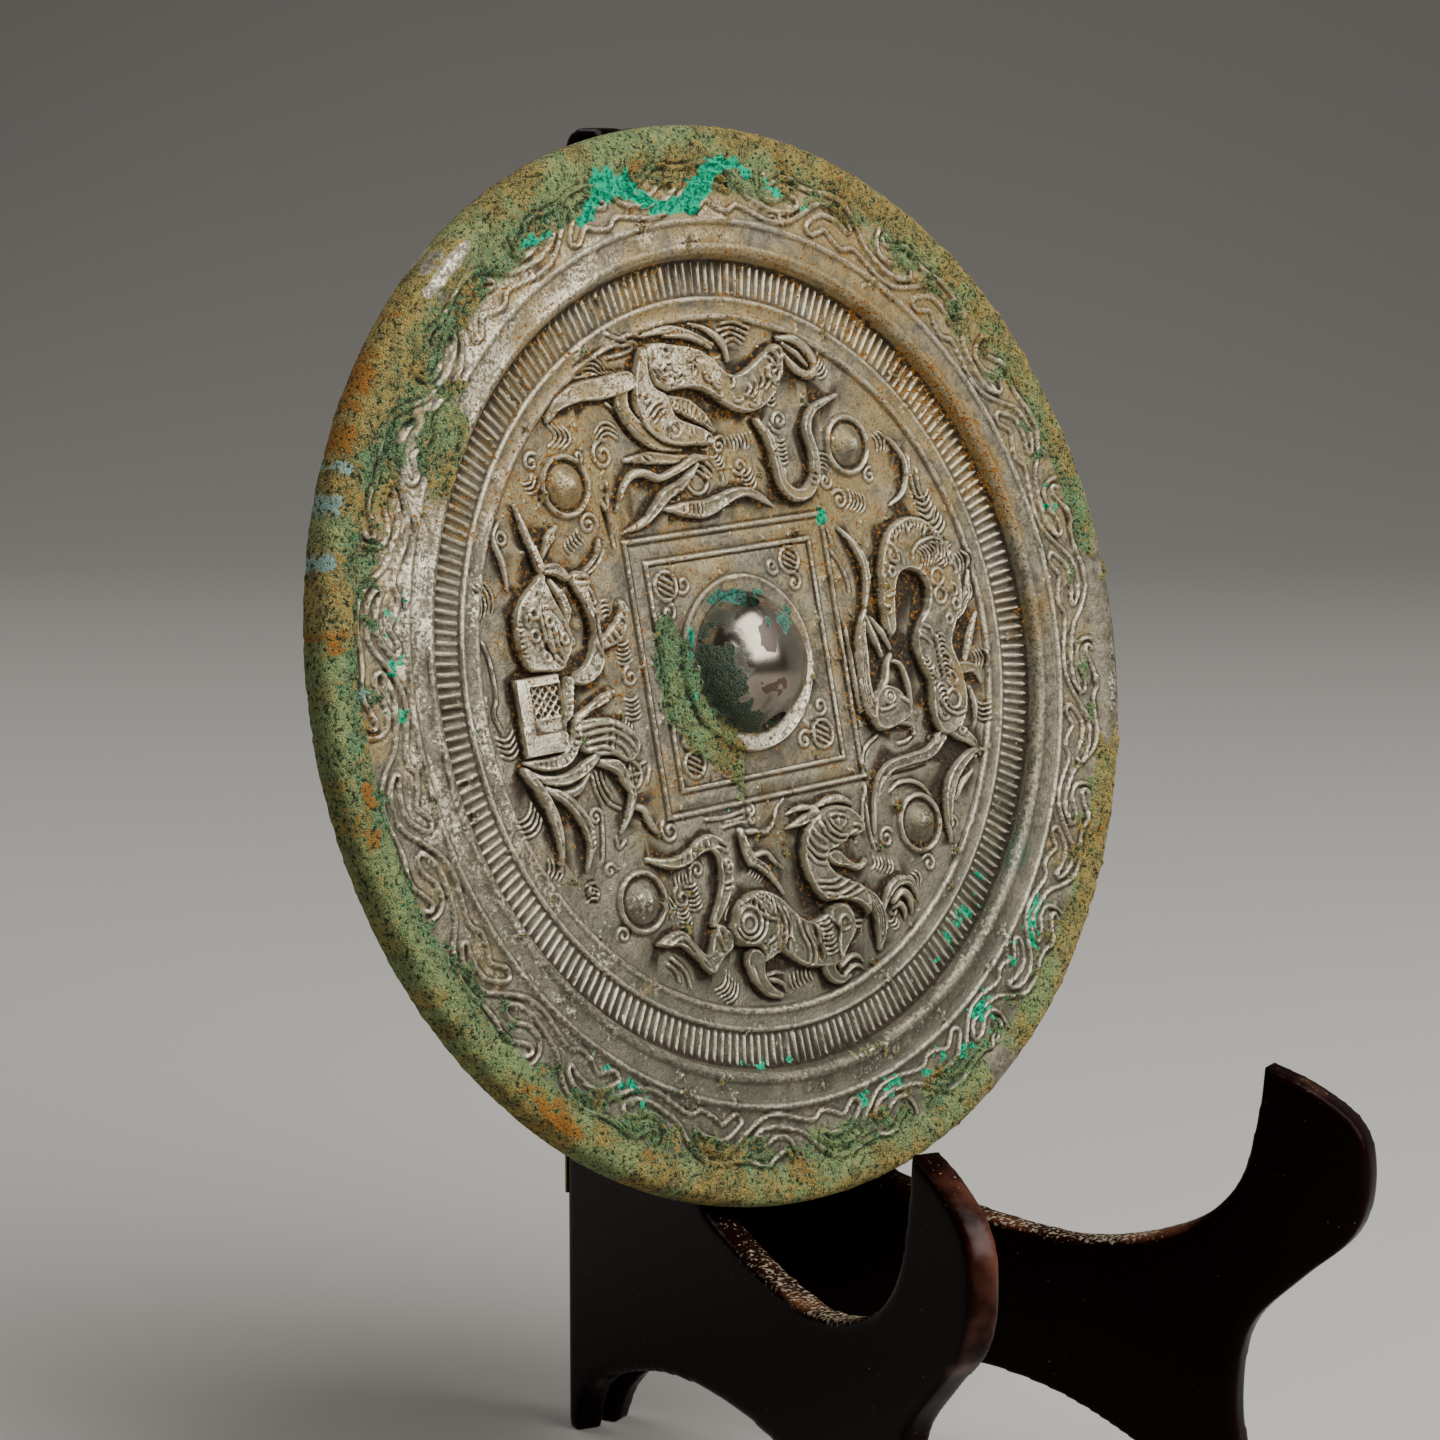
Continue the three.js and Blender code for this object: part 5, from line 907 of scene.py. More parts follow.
# earth also lies on the slope, on the right and above
slope_earth = step(on_rim(42, 72, 26, 5) + on_rim(26, 76, 24, 2.6) + on_rim(80, 75.4, 26, 1.4) * 0.8
                   + on_rim(75, 79, 18, 1.6) * 0.55 + 0.4 * mid + 0.15 * fine, 0.4, 1.1)
patina["earth"] = np.maximum(patina["earth"], 0.6 * slope_earth) * inside_rim
# a thin yellow-brown film, thickest above and to the right
patina["film"] = np.clip(0.3 + 0.004 * GY + 0.3 * spot(-20, 45, 50, 30) + 0.25 * spot(45, 20, 25)
                         + 0.5 * slope_earth + 0.25 * in_clouds + 0.3 * big + 0.15 * mid, 0, 1) * inside_rim
# lighter metal, partly rubbed wear and partly painted light: the raised work, lit more towards the upper
# left; the band and the narrow ring on the left, painted as lit where they face the light; bare spots of the
# rim; and the ring round the knob
patina["bright"] = np.clip(
    raised * (0.2 + 0.6 * spot(-12, 54, 16, 10) + 0.5 * spot(-50, 5, 22, 40) + 0.3 * spot(-30, 40, 25))
    + by_turn((-180, 0.55), (-150, 0.35), (-100, 0.1), (-60, 0.15), (0, 0.1), (60, 0.15), (100, 0.4),
              (120, 0.65), (140, 0.8), (160, 0.65), (180, 0.55)) * step(R, 74, 76) * (1 - step(R, 86, 92))
    + by_turn((-180, 0.55), (-120, 0.3), (-60, 0.1), (60, 0.1), (120, 0.4), (180, 0.55))
    * (R > 62.6) * (R < 68)
    + 0.4 * mid, 0, 1)
bare_rim = on_rim(127.5, 96, 6, 1.7)                  # no crust here, on the upper left
rubbed_rim = step(bare_rim + on_rim(-8, 96, 6, 2.2) + on_rim(-100, 96, 1.2, 2.5) + 0.25 * mid, 0.45, 0.8)
patina["bright"] = np.maximum(patina["bright"], 0.68 * rubbed_rim)
RUBBED_RADIUS, RUBBED_WIDTH = 14.6, 1.6               # mm, round the knob
rubbed_ring = np.exp(-((R - RUBBED_RADIUS) / RUBBED_WIDTH) ** 2) * step(-GY + 0.4 * GX, 0, 8)
patina["bright"] = np.maximum(patina["bright"], rubbed_ring)
patina["crust"] = crust = crust * (1 - step(bare_rim + on_rim(-8, 96, 6, 2.4) + 0.3 * mid, 0.4, 0.7))
# olive-black, darker towards the bottom, and in patches on the slope and the band
patina["olive_darker_below"] = np.clip(step(-GY, 5, 75) * 0.8 + on_rim(-20, 72, 40, 5) * 0.5 + on_rim(140, 78, 22, 10)
                              + 0.3 * big + 0.3 * mid, 0, 1) * (R < 95)
# a green stain that has no thickness
patina["green_tint"] = step(
    on_rim(-37, 77.5, 4, 4) + on_rim(-45, 72, 22, 4) * 0.55 + on_rim(0, 73, 30, 3) * 0.35
    + spot(18.5, 7, 1.5) + spot(4, -19, 1.6) + spot(-25, -3, 2.4, 5) * 0.8 + spot(2, 36.6, 2, 2)
    + on_rim(-10, 90, 12, 5) * 0.45 + on_rim(140, 76, 14, 6) * 0.7 + on_rim(135, 69, 16, 3) * 0.6
    + on_rim(75, 71, 16, 3) * 0.5 + on_rim(-90, 88, 40, 5) * 0.4 + 0.35 * mid, 0.3, 0.95)
print("specks", round(patina["earth"].mean(), 2), "film", round(patina["film"].mean(), 2))

# %% Skins of the knob
# The knob is seen from its left, so its marks are laid out as seen: what stands high moves to the right.
SEEN_RIGHT, SEEN_UP = 0.93, 0.04                      # mm for each mm of height
seen_x, seen_y = GX + SEEN_RIGHT * relief, GY + SEEN_UP * relief
on_knob = step(-R, -13.0, -12.5)


def seen_spot(x0, y0, across, up):
    """A soft spot, 1 at its middle, placed as seen."""
    return np.exp(-((seen_x - x0) / across) ** 2 - ((seen_y - y0) / up) ** 2)


dirt_edge = np.interp(seen_y, [-13, -10, -8, -5, 0, 3, 5, 8, 12], [6, 3, -1, -3, -3.5, -4.5, -6, -9, -14])
patina["knob_dirt"] = step(dirt_edge - seen_x + 2.6 * mid + 2.4 * fine, -1.5, 1.5) * on_knob
patina["knob_film"] = np.clip(
    seen_spot(3, -11, 10, 3.4) + 0.9 * seen_spot(-3, 10, 6, 3) + 0.8 * seen_spot(-3, 1, 4, 5)
    + 0.35 * mid, 0, 1) * on_knob
patina["knob_green"] = step(
    1.2 * seen_spot(-4, 12.8, 5, 1.6) + seen_spot(4, 12.4, 6, 1.5) + 0.8 * seen_spot(11, 8, 2.4, 4)
    + 0.7 * seen_spot(7, 8.4, 1, 1.6) + 0.9 * seen_spot(-13, 6, 2, 5) + 0.8 * seen_spot(-11.6, -8, 3, 2)
    + 0.35 * mid + 0.3 * fine, 0.55, 0.9) * (R < 15)
patina["knob_rust"] = step(
    2.2 * seen_spot(6.2, 4.6, 2.0, 2.6) + seen_spot(7, -4.6, 5, 1.9) + 0.6 * seen_spot(-4.5, 7.4, 2, 0.8)
    + 0.55 * seen_spot(-2, 0.5, 2.6, 1.2) + 0.9 * seen_spot(-6.6, -11.6, 2.4, 0.8)
    + 0.35 * fine + 0.2 * mid, 0.6, 0.8) * on_knob
patina["polish"] = on_knob
print("knob skins over", int(on_knob.sum() * CELL ** 2), "square mm")

# %% Thickness of the crusts, then hollows and ridges
relief += patina["crust"] * (0.1 + 0.17 * mid + 0.2 * fine + 0.05 * big) + flow * 0.35
relief += patina["knob_dirt"] * (0.12 + 0.1 * mid + 0.14 * fine)
# the hollows get a darker coat, partly earth and partly painted shade
patina["hollow_soil_and_shade"] = np.clip(np.clip((soften(relief, 0.6) - relief) / 0.22, 0, 1) * 0.8
                           + np.clip((soften(relief, 2.6) - relief) / 0.9, 0, 1) * 0.45, 0, 1)
# the ridges get a lighter coat, partly wear and partly a painted glint
patina["ridge"] = np.clip((relief - soften(relief, 0.5)) / 0.2, 0, 1)
print("hollow_soil_and_shade", round(patina["hollow_soil_and_shade"].mean(), 3), "ridge", round(patina["ridge"].mean(), 3))

# %% [markdown]
# ## The mirror
# One casting of tin-rich bronze. A fine square grid is drawn into a disc and takes the canvas's height at
# each corner; the looks come from this relief, so it is worked out rather than pushed up by hand. The edge
# is then extruded over the rim and across the plain, slightly domed reflecting face. Flat places are
# thinned to keep the casting light, and last the cord's hole is cut through the knob with a boolean.

# %% Places from the frame
KNOB_TURN = 2.4                                       # degrees, the design's turn in the stand
LEAN_BACK = math.radians(11.1)
PIN_BEHIND_SPINE, SPINE_BEHIND_MIRROR = 2.2 * MM, 42.4 * MM
CENTRE_UP = 155                                       # mm, the disc's centre above the table
spine_y = frame["joints"][0]["pos_m"][1] - PIN_BEHIND_SPINE
MIRROR_CENTRE = Vector((0, spine_y - SPINE_BEHIND_MIRROR, CENTRE_UP * MM))
mirror_place = (Matrix.Translation(MIRROR_CENTRE) @ Matrix.Rotation(math.pi / 2 - LEAN_BACK, 4, "X")
                @ Matrix.Rotation(math.radians(KNOB_TURN), 4, "Z"))
print("mirror centre:", [round(v, 4) for v in MIRROR_CENTRE])


# %% Corners of a mesh, and the canvas at any place
def corners_of(obj):
    co = np.zeros(len(obj.data.vertices) * 3)
    obj.data.vertices.foreach_get("co", co)
    return co.reshape(-1, 3)


def place_corners(obj, co):
    obj.data.vertices.foreach_set("co", np.ascontiguousarray(co, float).ravel())
    obj.data.update()


def sample(field, x, y):
    """A canvas read at any place, in mm."""
    col = np.clip((x + REACH) / CELL, 0, SIDE - 1.001)
    row = np.clip((y + REACH) / CELL, 0, SIDE - 1.001)
    c, r = col.astype(int), row.astype(int)
    u, v = col - c, row - r
    return ((field[r, c] * (1 - u) + field[r, c + 1] * u) * (1 - v)
            + (field[r + 1, c] * (1 - u) + field[r + 1, c + 1] * u) * v)


def write_mask(obj, name, values):
    obj.data.attributes.new(name, "FLOAT", "POINT").data.foreach_set("value", values.astype(np.float32))


print("height at the knob's top:", round(float(sample(relief, np.array([0.0]), np.array([0.0]))[0]), 2), "mm")

# %% A grid drawn into a disc
GRID_LINES = 620
RING_SHARES = [0, 0.1, 0.74, 0.83, 0.95, 1]           # of the way from the grid's middle to its edge
RING_RADII = [0, 13.2, 64, 75, 92.5, 98.9]            # mm, where those shares come to lie
bpy.ops.mesh.primitive_grid_add(x_subdivisions=GRID_LINES, y_subdivisions=GRID_LINES, size=2)
mirror = bpy.context.active_object
mirror.name = "mirror_cast"
a, b = corners_of(mirror)[:, :2].T
on_side = np.abs(a) > np.abs(b)
reach = np.where(on_side, a, b)
with np.errstate(divide="ignore", invalid="ignore"):
    angle = np.nan_to_num(np.where(on_side, math.pi / 4 * b / a, math.pi / 2 - math.pi / 4 * a / b))
reach = np.sign(reach) * np.interp(np.abs(reach), RING_SHARES, RING_RADII)
x, y = reach * np.cos(angle), reach * np.sin(angle)
place_corners(mirror, np.column_stack([x, y, sample(relief, x, y)]))
print("grid:", len(mirror.data.polygons), "faces")

# %% Rim and reflecting face
BACK_STEPS = [(99.2, 0.4), (99.2, -1.6), (98.7, -2.6), (97.6, -3.3), (80, -3.8), (50, -4.2), (20, -4.4)]
GRID_EDGE_HEIGHT = 2.2
last_radius, last_height = RING_RADII[-1], GRID_EDGE_HEIGHT
bpy.ops.object.mode_set(mode="EDIT")
bpy.ops.mesh.select_all(action="DESELECT")
bpy.ops.mesh.select_mode(type="EDGE")
bpy.ops.mesh.select_non_manifold()
for radius, height in BACK_STEPS:
    bpy.ops.mesh.extrude_region_move(TRANSFORM_OT_translate={"value": (0, 0, height - last_height)})
    bpy.ops.transform.resize(value=(radius / last_radius, radius / last_radius, 1), center_override=(0, 0, 0))
    last_radius, last_height = radius, height
bpy.ops.mesh.merge(type="CENTER")
bpy.ops.mesh.select_all(action="SELECT")
bpy.ops.mesh.normals_make_consistent(inside=False)
bpy.ops.object.mode_set(mode="OBJECT")
print("closed casting:", len(mirror.data.polygons), "faces")

# %% Thin the flat places, but not the knob, whose skins need close corners
MIRROR_TRIANGLES = 195000
KEPT_FINE = 15             # mm from the middle
fine_group = mirror.vertex_groups.new(name="kept_fine")
co = corners_of(mirror)
near_knob = (np.hypot(co[:, 0], co[:, 1]) < KEPT_FINE) & (co[:, 2] > -1)
fine_group.add(np.flatnonzero(near_knob).tolist(), 1.0, "REPLACE")
mirror.data.calc_loop_triangles()
bpy.ops.object.modifier_add(type="DECIMATE")
thin = mirror.modifiers[-1]
thin.ratio = MIRROR_TRIANGLES / len(mirror.data.loop_triangles)
thin.vertex_group = fine_group.name
thin.invert_vertex_group = True
thin.vertex_group_factor = 1
bpy.ops.object.modifier_apply(modifier=thin.name)
mirror.vertex_groups.clear()
mirror.data.calc_loop_triangles()
print("mirror:", len(mirror.data.loop_triangles), "triangles")

# %% Hole for the cord
HOLE_RADIUS, HOLE_HEIGHT, HOLE_TURN = 2.7, 3.1, math.radians(-84)
DRILL_LENGTH = 2 * KNOB_RADIUS + 1                    # just past the knob, so that the ring round it stays
bpy.ops.mesh.primitive_cylinder_add(vertices=48, radius=HOLE_RADIUS, depth=DRILL_LENGTH,
                                    location=(0, 0, HOLE_HEIGHT), rotation=(0, math.pi / 2, HOLE_TURN))
drill = bpy.context.active_object
bpy.ops.object.transform_apply(location=True, rotation=True, scale=True)
bpy.ops.object.select_all(action="DESELECT")
mirror.select_set(True)
bpy.context.view_layer.objects.active = mirror
bpy.ops.object.modifier_add(type="BOOLEAN")
cut = mirror.modifiers[-1]
cut.operation = "DIFFERENCE"
cut.solver = "MANIFOLD"
cut.object = drill
faces_before = len(mirror.data.polygons)
bpy.ops.object.modifier_apply(modifier=cut.name)
bpy.data.objects.remove(drill, do_unlink=True)
print("hole cut:", faces_before, "->", len(mirror.data.polygons), "faces")

# %% Masks on the mesh, then into the stand
FRONT_ONLY = ("hollow_soil_and_shade", "ridge", "bright", "polish", "knob_dirt", "knob_film", "knob_green", "knob_rust",
              "earth", "film", "olive_darker_below", "green_tint")
MASK_REACH = 98.4                                     # mm, the rim's side takes the masks from here
co = corners_of(mirror)
r = np.hypot(co[:, 0], co[:, 1])
inward = np.minimum(1, MASK_REACH / np.maximum(r, 1e-6))
round_back = np.clip((-1.5 - co[:, 2]) / 1.5, 0, 1)   # 0 on the front, 1 on the reflecting face
for name, field in patina.items():
    values = sample(np.asarray(field, float), co[:, 0] * inward, co[:, 1] * inward)
    if name in FRONT_ONLY:
        values = values * (1 - round_back)
    if name == "crust":
        values = values * (1 - round_back * np.clip((98.0 - r) / 3, 0, 1))
    write_mask(mirror, name, values)
place_corners(mirror, co * MM)
mirror.data.transform(mirror_place)
bpy.ops.object.shade_smooth_by_angle(angle=math.radians(50))
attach(mirror, "left_half")
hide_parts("mirror")
print("masks:", len(patina))

# %% [markdown]
# ## Finishes
# Every finish is procedural and reads each piece's own coordinates, so it stays put when the stand folds. The
# scales of the patterns are worked out from real sizes in mm. One function adds a node with its settings and
# its wires, and the finishes are then stacked like coats: a colour, the mask it lies in, and its share.

# %% Helpers for the finishes
def linear(hex_colour):
    """An sRGB hex colour as the linear values that the shader takes."""
    parts = [int(hex_colour[i:i + 2], 16) / 255 for i in (1, 3, 5)]
    return [c / 12.92 if c <= 0.04045 else ((c + 0.055) / 1.055) ** 2.4 for c in parts] + [1.0]


def add(tree, kind, settings=None, wires=None):
    """A node with its settings, and its inputs wired to nodes or set to numbers and hex colours."""
    node = tree.nodes.new(kind)
    for name, value in (settings or {}).items():
        setattr(node, name, value)
    for name, value in (wires or {}).items():
        live = [s for s in node.inputs if s.enabled]
        target = live[name] if isinstance(name, int) else next(s for s in live if s.name == name)
        if isinstance(value, bpy.types.Node):
            value = next(s for s in value.outputs if s.enabled)
        if isinstance(value, bpy.types.NodeSocket):
            tree.links.new(value, target)
        else:
            target.default_value = linear(value) if isinstance(value, str) else value
    return node


def new_material(name):
    material = bpy.data.materials.new(name)
    material.use_nodes = True
    material.node_tree.nodes.clear()
    return material, material.node_tree


def per_metre(size_mm):
    """The noise scale for grains of this size."""
    return 1 / (size_mm * MM)


COLOURS, NUMBERS = {"data_type": "RGBA"}, {"data_type": "FLOAT"}
TIMES, MINUS, TIMES_PLUS = {"operation": "MULTIPLY"}, {"operation": "SUBTRACT"}, {"operation": "MULTIPLY_ADD"}
SMOOTH = {"interpolation_type": "SMOOTHSTEP"}
print("mid grey in linear light:", round(linear("#808080")[0], 3))

# %% [markdown]
# ## Patinated bronze
# Tin-rich cast bronze is a pale, warm grey metal. Its worn ridges are light, partly from wear and partly
# from a painted glint, its skin is dulled to about half rough, and earth and painted shade make the hollows
# dark and matt. The crusts are mineral: no metal, rough and granular, with pits, and so dry that they hardly
# shine. The knob is polished by handling to a smooth grey, so it mirrors the room between its stains. One
# shader with a mask for each coat was chosen over several materials, because the coats fade into each other
# on one casting.

# %% Grain of the bronze, and its masks with broken edges
bronze, tree = new_material("patinated_bronze")
place = add(tree, "ShaderNodeTexCoord").outputs["Object"]
noise, blotch = {}, {}
for name, size, detail in [("dust", 0.3, 2), ("fine", 0.8, 4), ("mid", 2.4, 4), ("big", 9, 3)]:   # mm
    noise[name] = add(tree, "ShaderNodeTexNoise", None,
                      {"Vector": place, "Scale": per_metre(size), "Detail": detail, "Roughness": 0.62})
    blotch[name] = add(tree, "ShaderNodeMapRange", SMOOTH,
                       {"Value": noise[name], "From Min": 0.38, "From Max": 0.62})
BREAK_UP = {  # the noise that breaks a mask up, its share, and where the result starts and ends
    "hollow_soil_and_shade": ("fine", 0.7, 0.15, 0.65), "ridge": ("fine", 1.1, 0.15, 0.7),
    "crust": ("fine", 1.1, 0.38, 0.62), "earth": ("fine", 2.4, 0.57, 0.73),
    "film": ("mid", 1.4, 0.25, 0.95), "olive_darker_below": ("mid", 1.2, 0.2, 1.1),
    "bright": ("fine", 3.0, 0.55, 0.85), "orange": ("fine", 2.4, 0.5, 0.95),
    "ochre": ("fine", 2.2, 0.35, 0.8), "emerald": ("mid", 2.4, 0.35, 0.8),
    "turquoise": ("fine", 1.1, 0.36, 0.56), "pale_blue": ("fine", 2.4, 0.5, 0.95),
    "green_tint": ("fine", 2.4, 0.5, 0.95), "polish": ("mid", 0.2, 0.4, 0.6),
    "knob_dirt": ("fine", 1.2, 0.4, 0.62), "knob_film": ("mid", 1.4, 0.3, 0.9),
    "knob_green": ("fine", 1.8, 0.4, 0.75), "knob_rust": ("fine", 0.9, 0.35, 0.55),
}
edge = {}
for name, (kind, share, start, end) in BREAK_UP.items():
    mask = add(tree, "ShaderNodeAttribute", {"attribute_name": name}).outputs["Fac"]
    swing = add(tree, "ShaderNodeMath", MINUS, {0: noise[kind], 1: 0.5})
    shaken = add(tree, "ShaderNodeMath", TIMES_PLUS, {0: swing, 1: share, 2: mask})
    present = add(tree, "ShaderNodeMapRange", SMOOTH, {"Value": mask, "From Min": 0.02, "From Max": 0.12})
    broken = add(tree, "ShaderNodeMapRange", SMOOTH, {"Value": shaken, "From Min": start, "From Max": end})
    edge[name] = add(tree, "ShaderNodeMath", TIMES, {0: broken, 1: present})
pits = add(tree, "ShaderNodeMapRange", None, {"Value": noise["fine"], "From Min": 0.47, "From Max": 0.39})
print("masks with broken edges:", len(edge))


# %% Coats of colour, one over the other
def stack(tree, base, coats, kind):
    """Coats over a base; each is a colour or number, the mask it lies in, and its share there."""
    for coat, where, share in coats:
        part = add(tree, "ShaderNodeMath", TIMES, {0: where, 1: share})
        base = add(tree, "ShaderNodeMix", kind, {"Factor": part, "A": base, "B": coat})
    return base


# coats of the metal: the olive ones make it darker towards the bottom; the light one on the rubbed places is
# partly wear and partly painted light; the light one on the raised edges is partly wear and partly a painted
# glint
metal = stack(tree, "#6f6856", [("#98907a", blotch["mid"], 1), ("#4c4436", blotch["dust"], 0.6),
                                ("#7b7767", blotch["big"], 0.4), ("#4a4c3e", edge["olive_darker_below"], 0.7),
                                ("#3f5d4c", edge["green_tint"], 0.7), ("#a08546", edge["film"], 0.55),
                                ("#cfc6ac", edge["bright"], 0.9), ("#3d372c", pits, 0.5),
                                ("#cdc3a8", edge["ridge"], 0.75),
                                ("#4f5244", edge["olive_darker_below"], 0.35)], COLOURS)
# the dark coat for the hollows: partly earth and partly painted shade
soil_and_painted_shade = stack(tree, "#1d1813", [("#3a2f22", blotch["fine"], 1)], COLOURS)
rust_specks = stack(tree, "#55310f", [("#b07a30", blotch["dust"], 1)], COLOURS)
bare_skin = stack(tree, metal, [(soil_and_painted_shade, edge["hollow_soil_and_shade"], 0.92), (rust_specks, edge["earth"], 0.95)], COLOURS)

green = stack(tree, "#55734a", [("#a2ae6c", blotch["mid"], 0.9), ("#7d9c60", blotch["big"], 0.6)], COLOURS)
emerald = stack(tree, "#173f2e", [("#2f8a60", blotch["mid"], 0.85), ("#25684b", blotch["big"], 0.4)], COLOURS)
yellow = stack(tree, "#66501f", [("#bb9540", blotch["mid"], 0.9)], COLOURS)
# in the crust, the near-black coat in the hollows is partly earth and partly painted shade
mineral = stack(tree, green, [(emerald, edge["emerald"], 0.9), (yellow, edge["ochre"], 0.85),
                              ("#cdd098", blotch["dust"], 0.38), ("#b0742c", edge["orange"], 0.85),
                              ("#9cc6bd", edge["pale_blue"], 0.8), ("#171b12", pits, 0.85),
                              ("#1a1f17", edge["hollow_soil_and_shade"], 0.8)], COLOURS)
vivid = stack(tree, "#00785a", [("#00c08c", blotch["fine"], 0.9), ("#04493b", pits, 0.6)], COLOURS)

knob_dirt = stack(tree, "#161c15", [("#73835f", blotch["dust"], 0.75),
                                    ("#26463a", blotch["mid"], 0.5)], COLOURS)
knob_green = stack(tree, "#17382f", [("#2c8c74", blotch["fine"], 0.85)], COLOURS)
knob_skin = stack(tree, "#938a7c", [("#7d766a", blotch["big"], 0.7),
                                    ("#3f443c", edge["knob_film"], 0.75)], COLOURS)
skin = stack(tree, bare_skin, [(mineral, edge["crust"], 1), (vivid, edge["turquoise"], 1),
                               (knob_skin, edge["polish"], 1), ("#432d1d", edge["knob_rust"], 0.95),
                               (knob_dirt, edge["knob_dirt"], 1),
                               (knob_green, edge["knob_green"], 0.9)], COLOURS)
print("bronze, colours:", len(tree.nodes), "nodes")

# %% How metallic, how rough, how bumpy and how dry each coat is
bare = stack(tree, 0.75, [(0.9, edge["bright"], 1), (0.25, edge["hollow_soil_and_shade"], 1), (0.45, edge["film"], 0.7),
                          (0.05, edge["earth"], 1), (0.0, edge["crust"], 1), (0.0, edge["turquoise"], 1),
                          (0.96, edge["polish"], 1), (0.55, edge["knob_film"], 1),
                          (0.15, edge["knob_rust"], 1), (0.1, edge["knob_dirt"], 1),
                          (0.0, edge["knob_green"], 1)], NUMBERS)
rough = stack(tree, 0.44, [(0.56, blotch["fine"], 1), (0.36, edge["bright"], 1), (0.34, edge["ridge"], 0.8),
                           (0.8, edge["hollow_soil_and_shade"], 1), (0.9, edge["earth"], 1), (0.85, edge["crust"], 1),
                           (0.7, edge["turquoise"], 1), (0.19, edge["polish"], 1),
                           (0.4, edge["knob_film"], 1), (0.4, edge["knob_rust"], 1),
                           (0.55, edge["knob_dirt"], 1), (0.7, edge["knob_green"], 1)], NUMBERS)
grit = add(tree, "ShaderNodeMath", TIMES_PLUS, {0: noise["fine"], 1: 1.5, 2: noise["dust"]})
bumpy = stack(tree, 0.22, [(1.0, edge["crust"], 1), (0.7, edge["earth"], 1), (0.6, edge["turquoise"], 1),
                           (0.02, edge["polish"], 1), (0.15, edge["knob_film"], 1),
                           (0.9, edge["knob_dirt"], 1), (0.7, edge["knob_green"], 1)], NUMBERS)
dry = stack(tree, 0.5, [(0.15, edge["hollow_soil_and_shade"], 1), (0.2, edge["earth"], 1), (0.15, edge["crust"], 1),
                        (0.1, edge["turquoise"], 1), (0.5, edge["polish"], 1)], NUMBERS)
bump = add(tree, "ShaderNodeBump", None, {"Height": grit, "Strength": bumpy, "Distance": 1.1 * MM})
shader = add(tree, "ShaderNodeBsdfPrincipled", None, {
    "Base Color": skin, "Metallic": bare, "Roughness": rough, "Specular IOR Level": dry, "Normal": bump})
add(tree, "ShaderNodeOutputMaterial", None, {"Surface": shader})
mirror.data.materials.clear()
mirror.data.materials.append(bronze)
print("bronze:", len(tree.nodes), "nodes")

# %% [markdown]
# ## Lacquered wood
# The boards are a dense hardwood, planed across a fine upright grain and lacquered nearly black with a red
# depth. The lacquer is worn to orange-brown along the edges that hands and the mirror rub, and pale dust and
# flakes lie on the cradle. The dark faces reflect little, and the worn wood more, so the shine is a stack of
# coats as well. A plain dark material would lose the edges, which are what shows the boards' shape.

# %% Dark lacquer over red-brown wood
wood, tree = new_material("dark_lacquered_wood")
place = add(tree, "ShaderNodeTexCoord").outputs["Object"]
upright = add(tree, "ShaderNodeMapping", {"vector_type": "POINT"}, {"Vector": place, "Scale": (1, 1, 0.06)})
wood_noise = {}
for name, way, size in [("fibre", upright, 1.0), ("streak", upright, 6), ("smear", place, 12),
                        ("speck", place, 0.8)]:      # mm
    wood_noise[name] = add(tree, "ShaderNodeTexNoise", None,
                           {"Vector": way, "Scale": per_metre(size), "Detail": 5})
WOOD_WEAR_AND_SHEEN = [  # coat, its mask, the noise that breaks it up, its share, and where it starts and ends
    ("worn", "worn", "smear", 1.1, 0.92, 1.3), ("dusty", "dusty", "speck", 2.2, 1.55, 1.9),
    ("painted_sheen", "worn", "streak", 0.6, 0.5, 1.1),
]
wear_and_sheen = {}
for name, mask_name, kind, share, start, end in WOOD_WEAR_AND_SHEEN:
    mask = add(tree, "ShaderNodeAttribute", {"attribute_name": mask_name}).outputs["Fac"]
    shaken = add(tree, "ShaderNodeMath", TIMES_PLUS, {0: wood_noise[kind], 1: share, 2: mask})
    wear_and_sheen[name] = add(tree, "ShaderNodeMapRange", SMOOTH,
                     {"Value": shaken, "From Min": start, "From Max": end})
motes = add(tree, "ShaderNodeMapRange", None,
            {"Value": wood_noise["speck"], "From Min": 0.74, "From Max": 0.78})
# a lighter red-brown streaked along the worn edges is painted shine; the other coats are wear, dust and
# flakes
lacquer = stack(tree, "#070202", [("#170604", wood_noise["fibre"], 0.7),
                                  ("#100403", wood_noise["streak"], 0.6), ("#34130b", wear_and_sheen["painted_sheen"], 0.5),
                                  ("#5a2c16", wear_and_sheen["worn"], 0.85), ("#a0937c", wear_and_sheen["dusty"], 0.9),
                                  ("#8c8477", motes, 0.6)], COLOURS)
gloss = stack(tree, 0.2, [(0.34, wood_noise["smear"], 1), (0.42, wear_and_sheen["worn"], 1), (0.85, wear_and_sheen["dusty"], 1),
                          (0.8, motes, 1)], NUMBERS)
shine = stack(tree, 0.04, [(0.35, wear_and_sheen["worn"], 1), (0.1, wear_and_sheen["dusty"], 1)], NUMBERS)
bump = add(tree, "ShaderNodeBump", None,
           {"Height": wood_noise["fibre"], "Strength": 0.2, "Distance": 0.12 * MM})
shader = add(tree, "ShaderNodeBsdfPrincipled", None, {
    "Base Color": lacquer, "Roughness": gloss, "Normal": bump, "IOR": 1.5, "Specular IOR Level": shine})
add(tree, "ShaderNodeOutputMaterial", None, {"Surface": shader})
print("lacquered wood:", len(tree.nodes), "nodes")

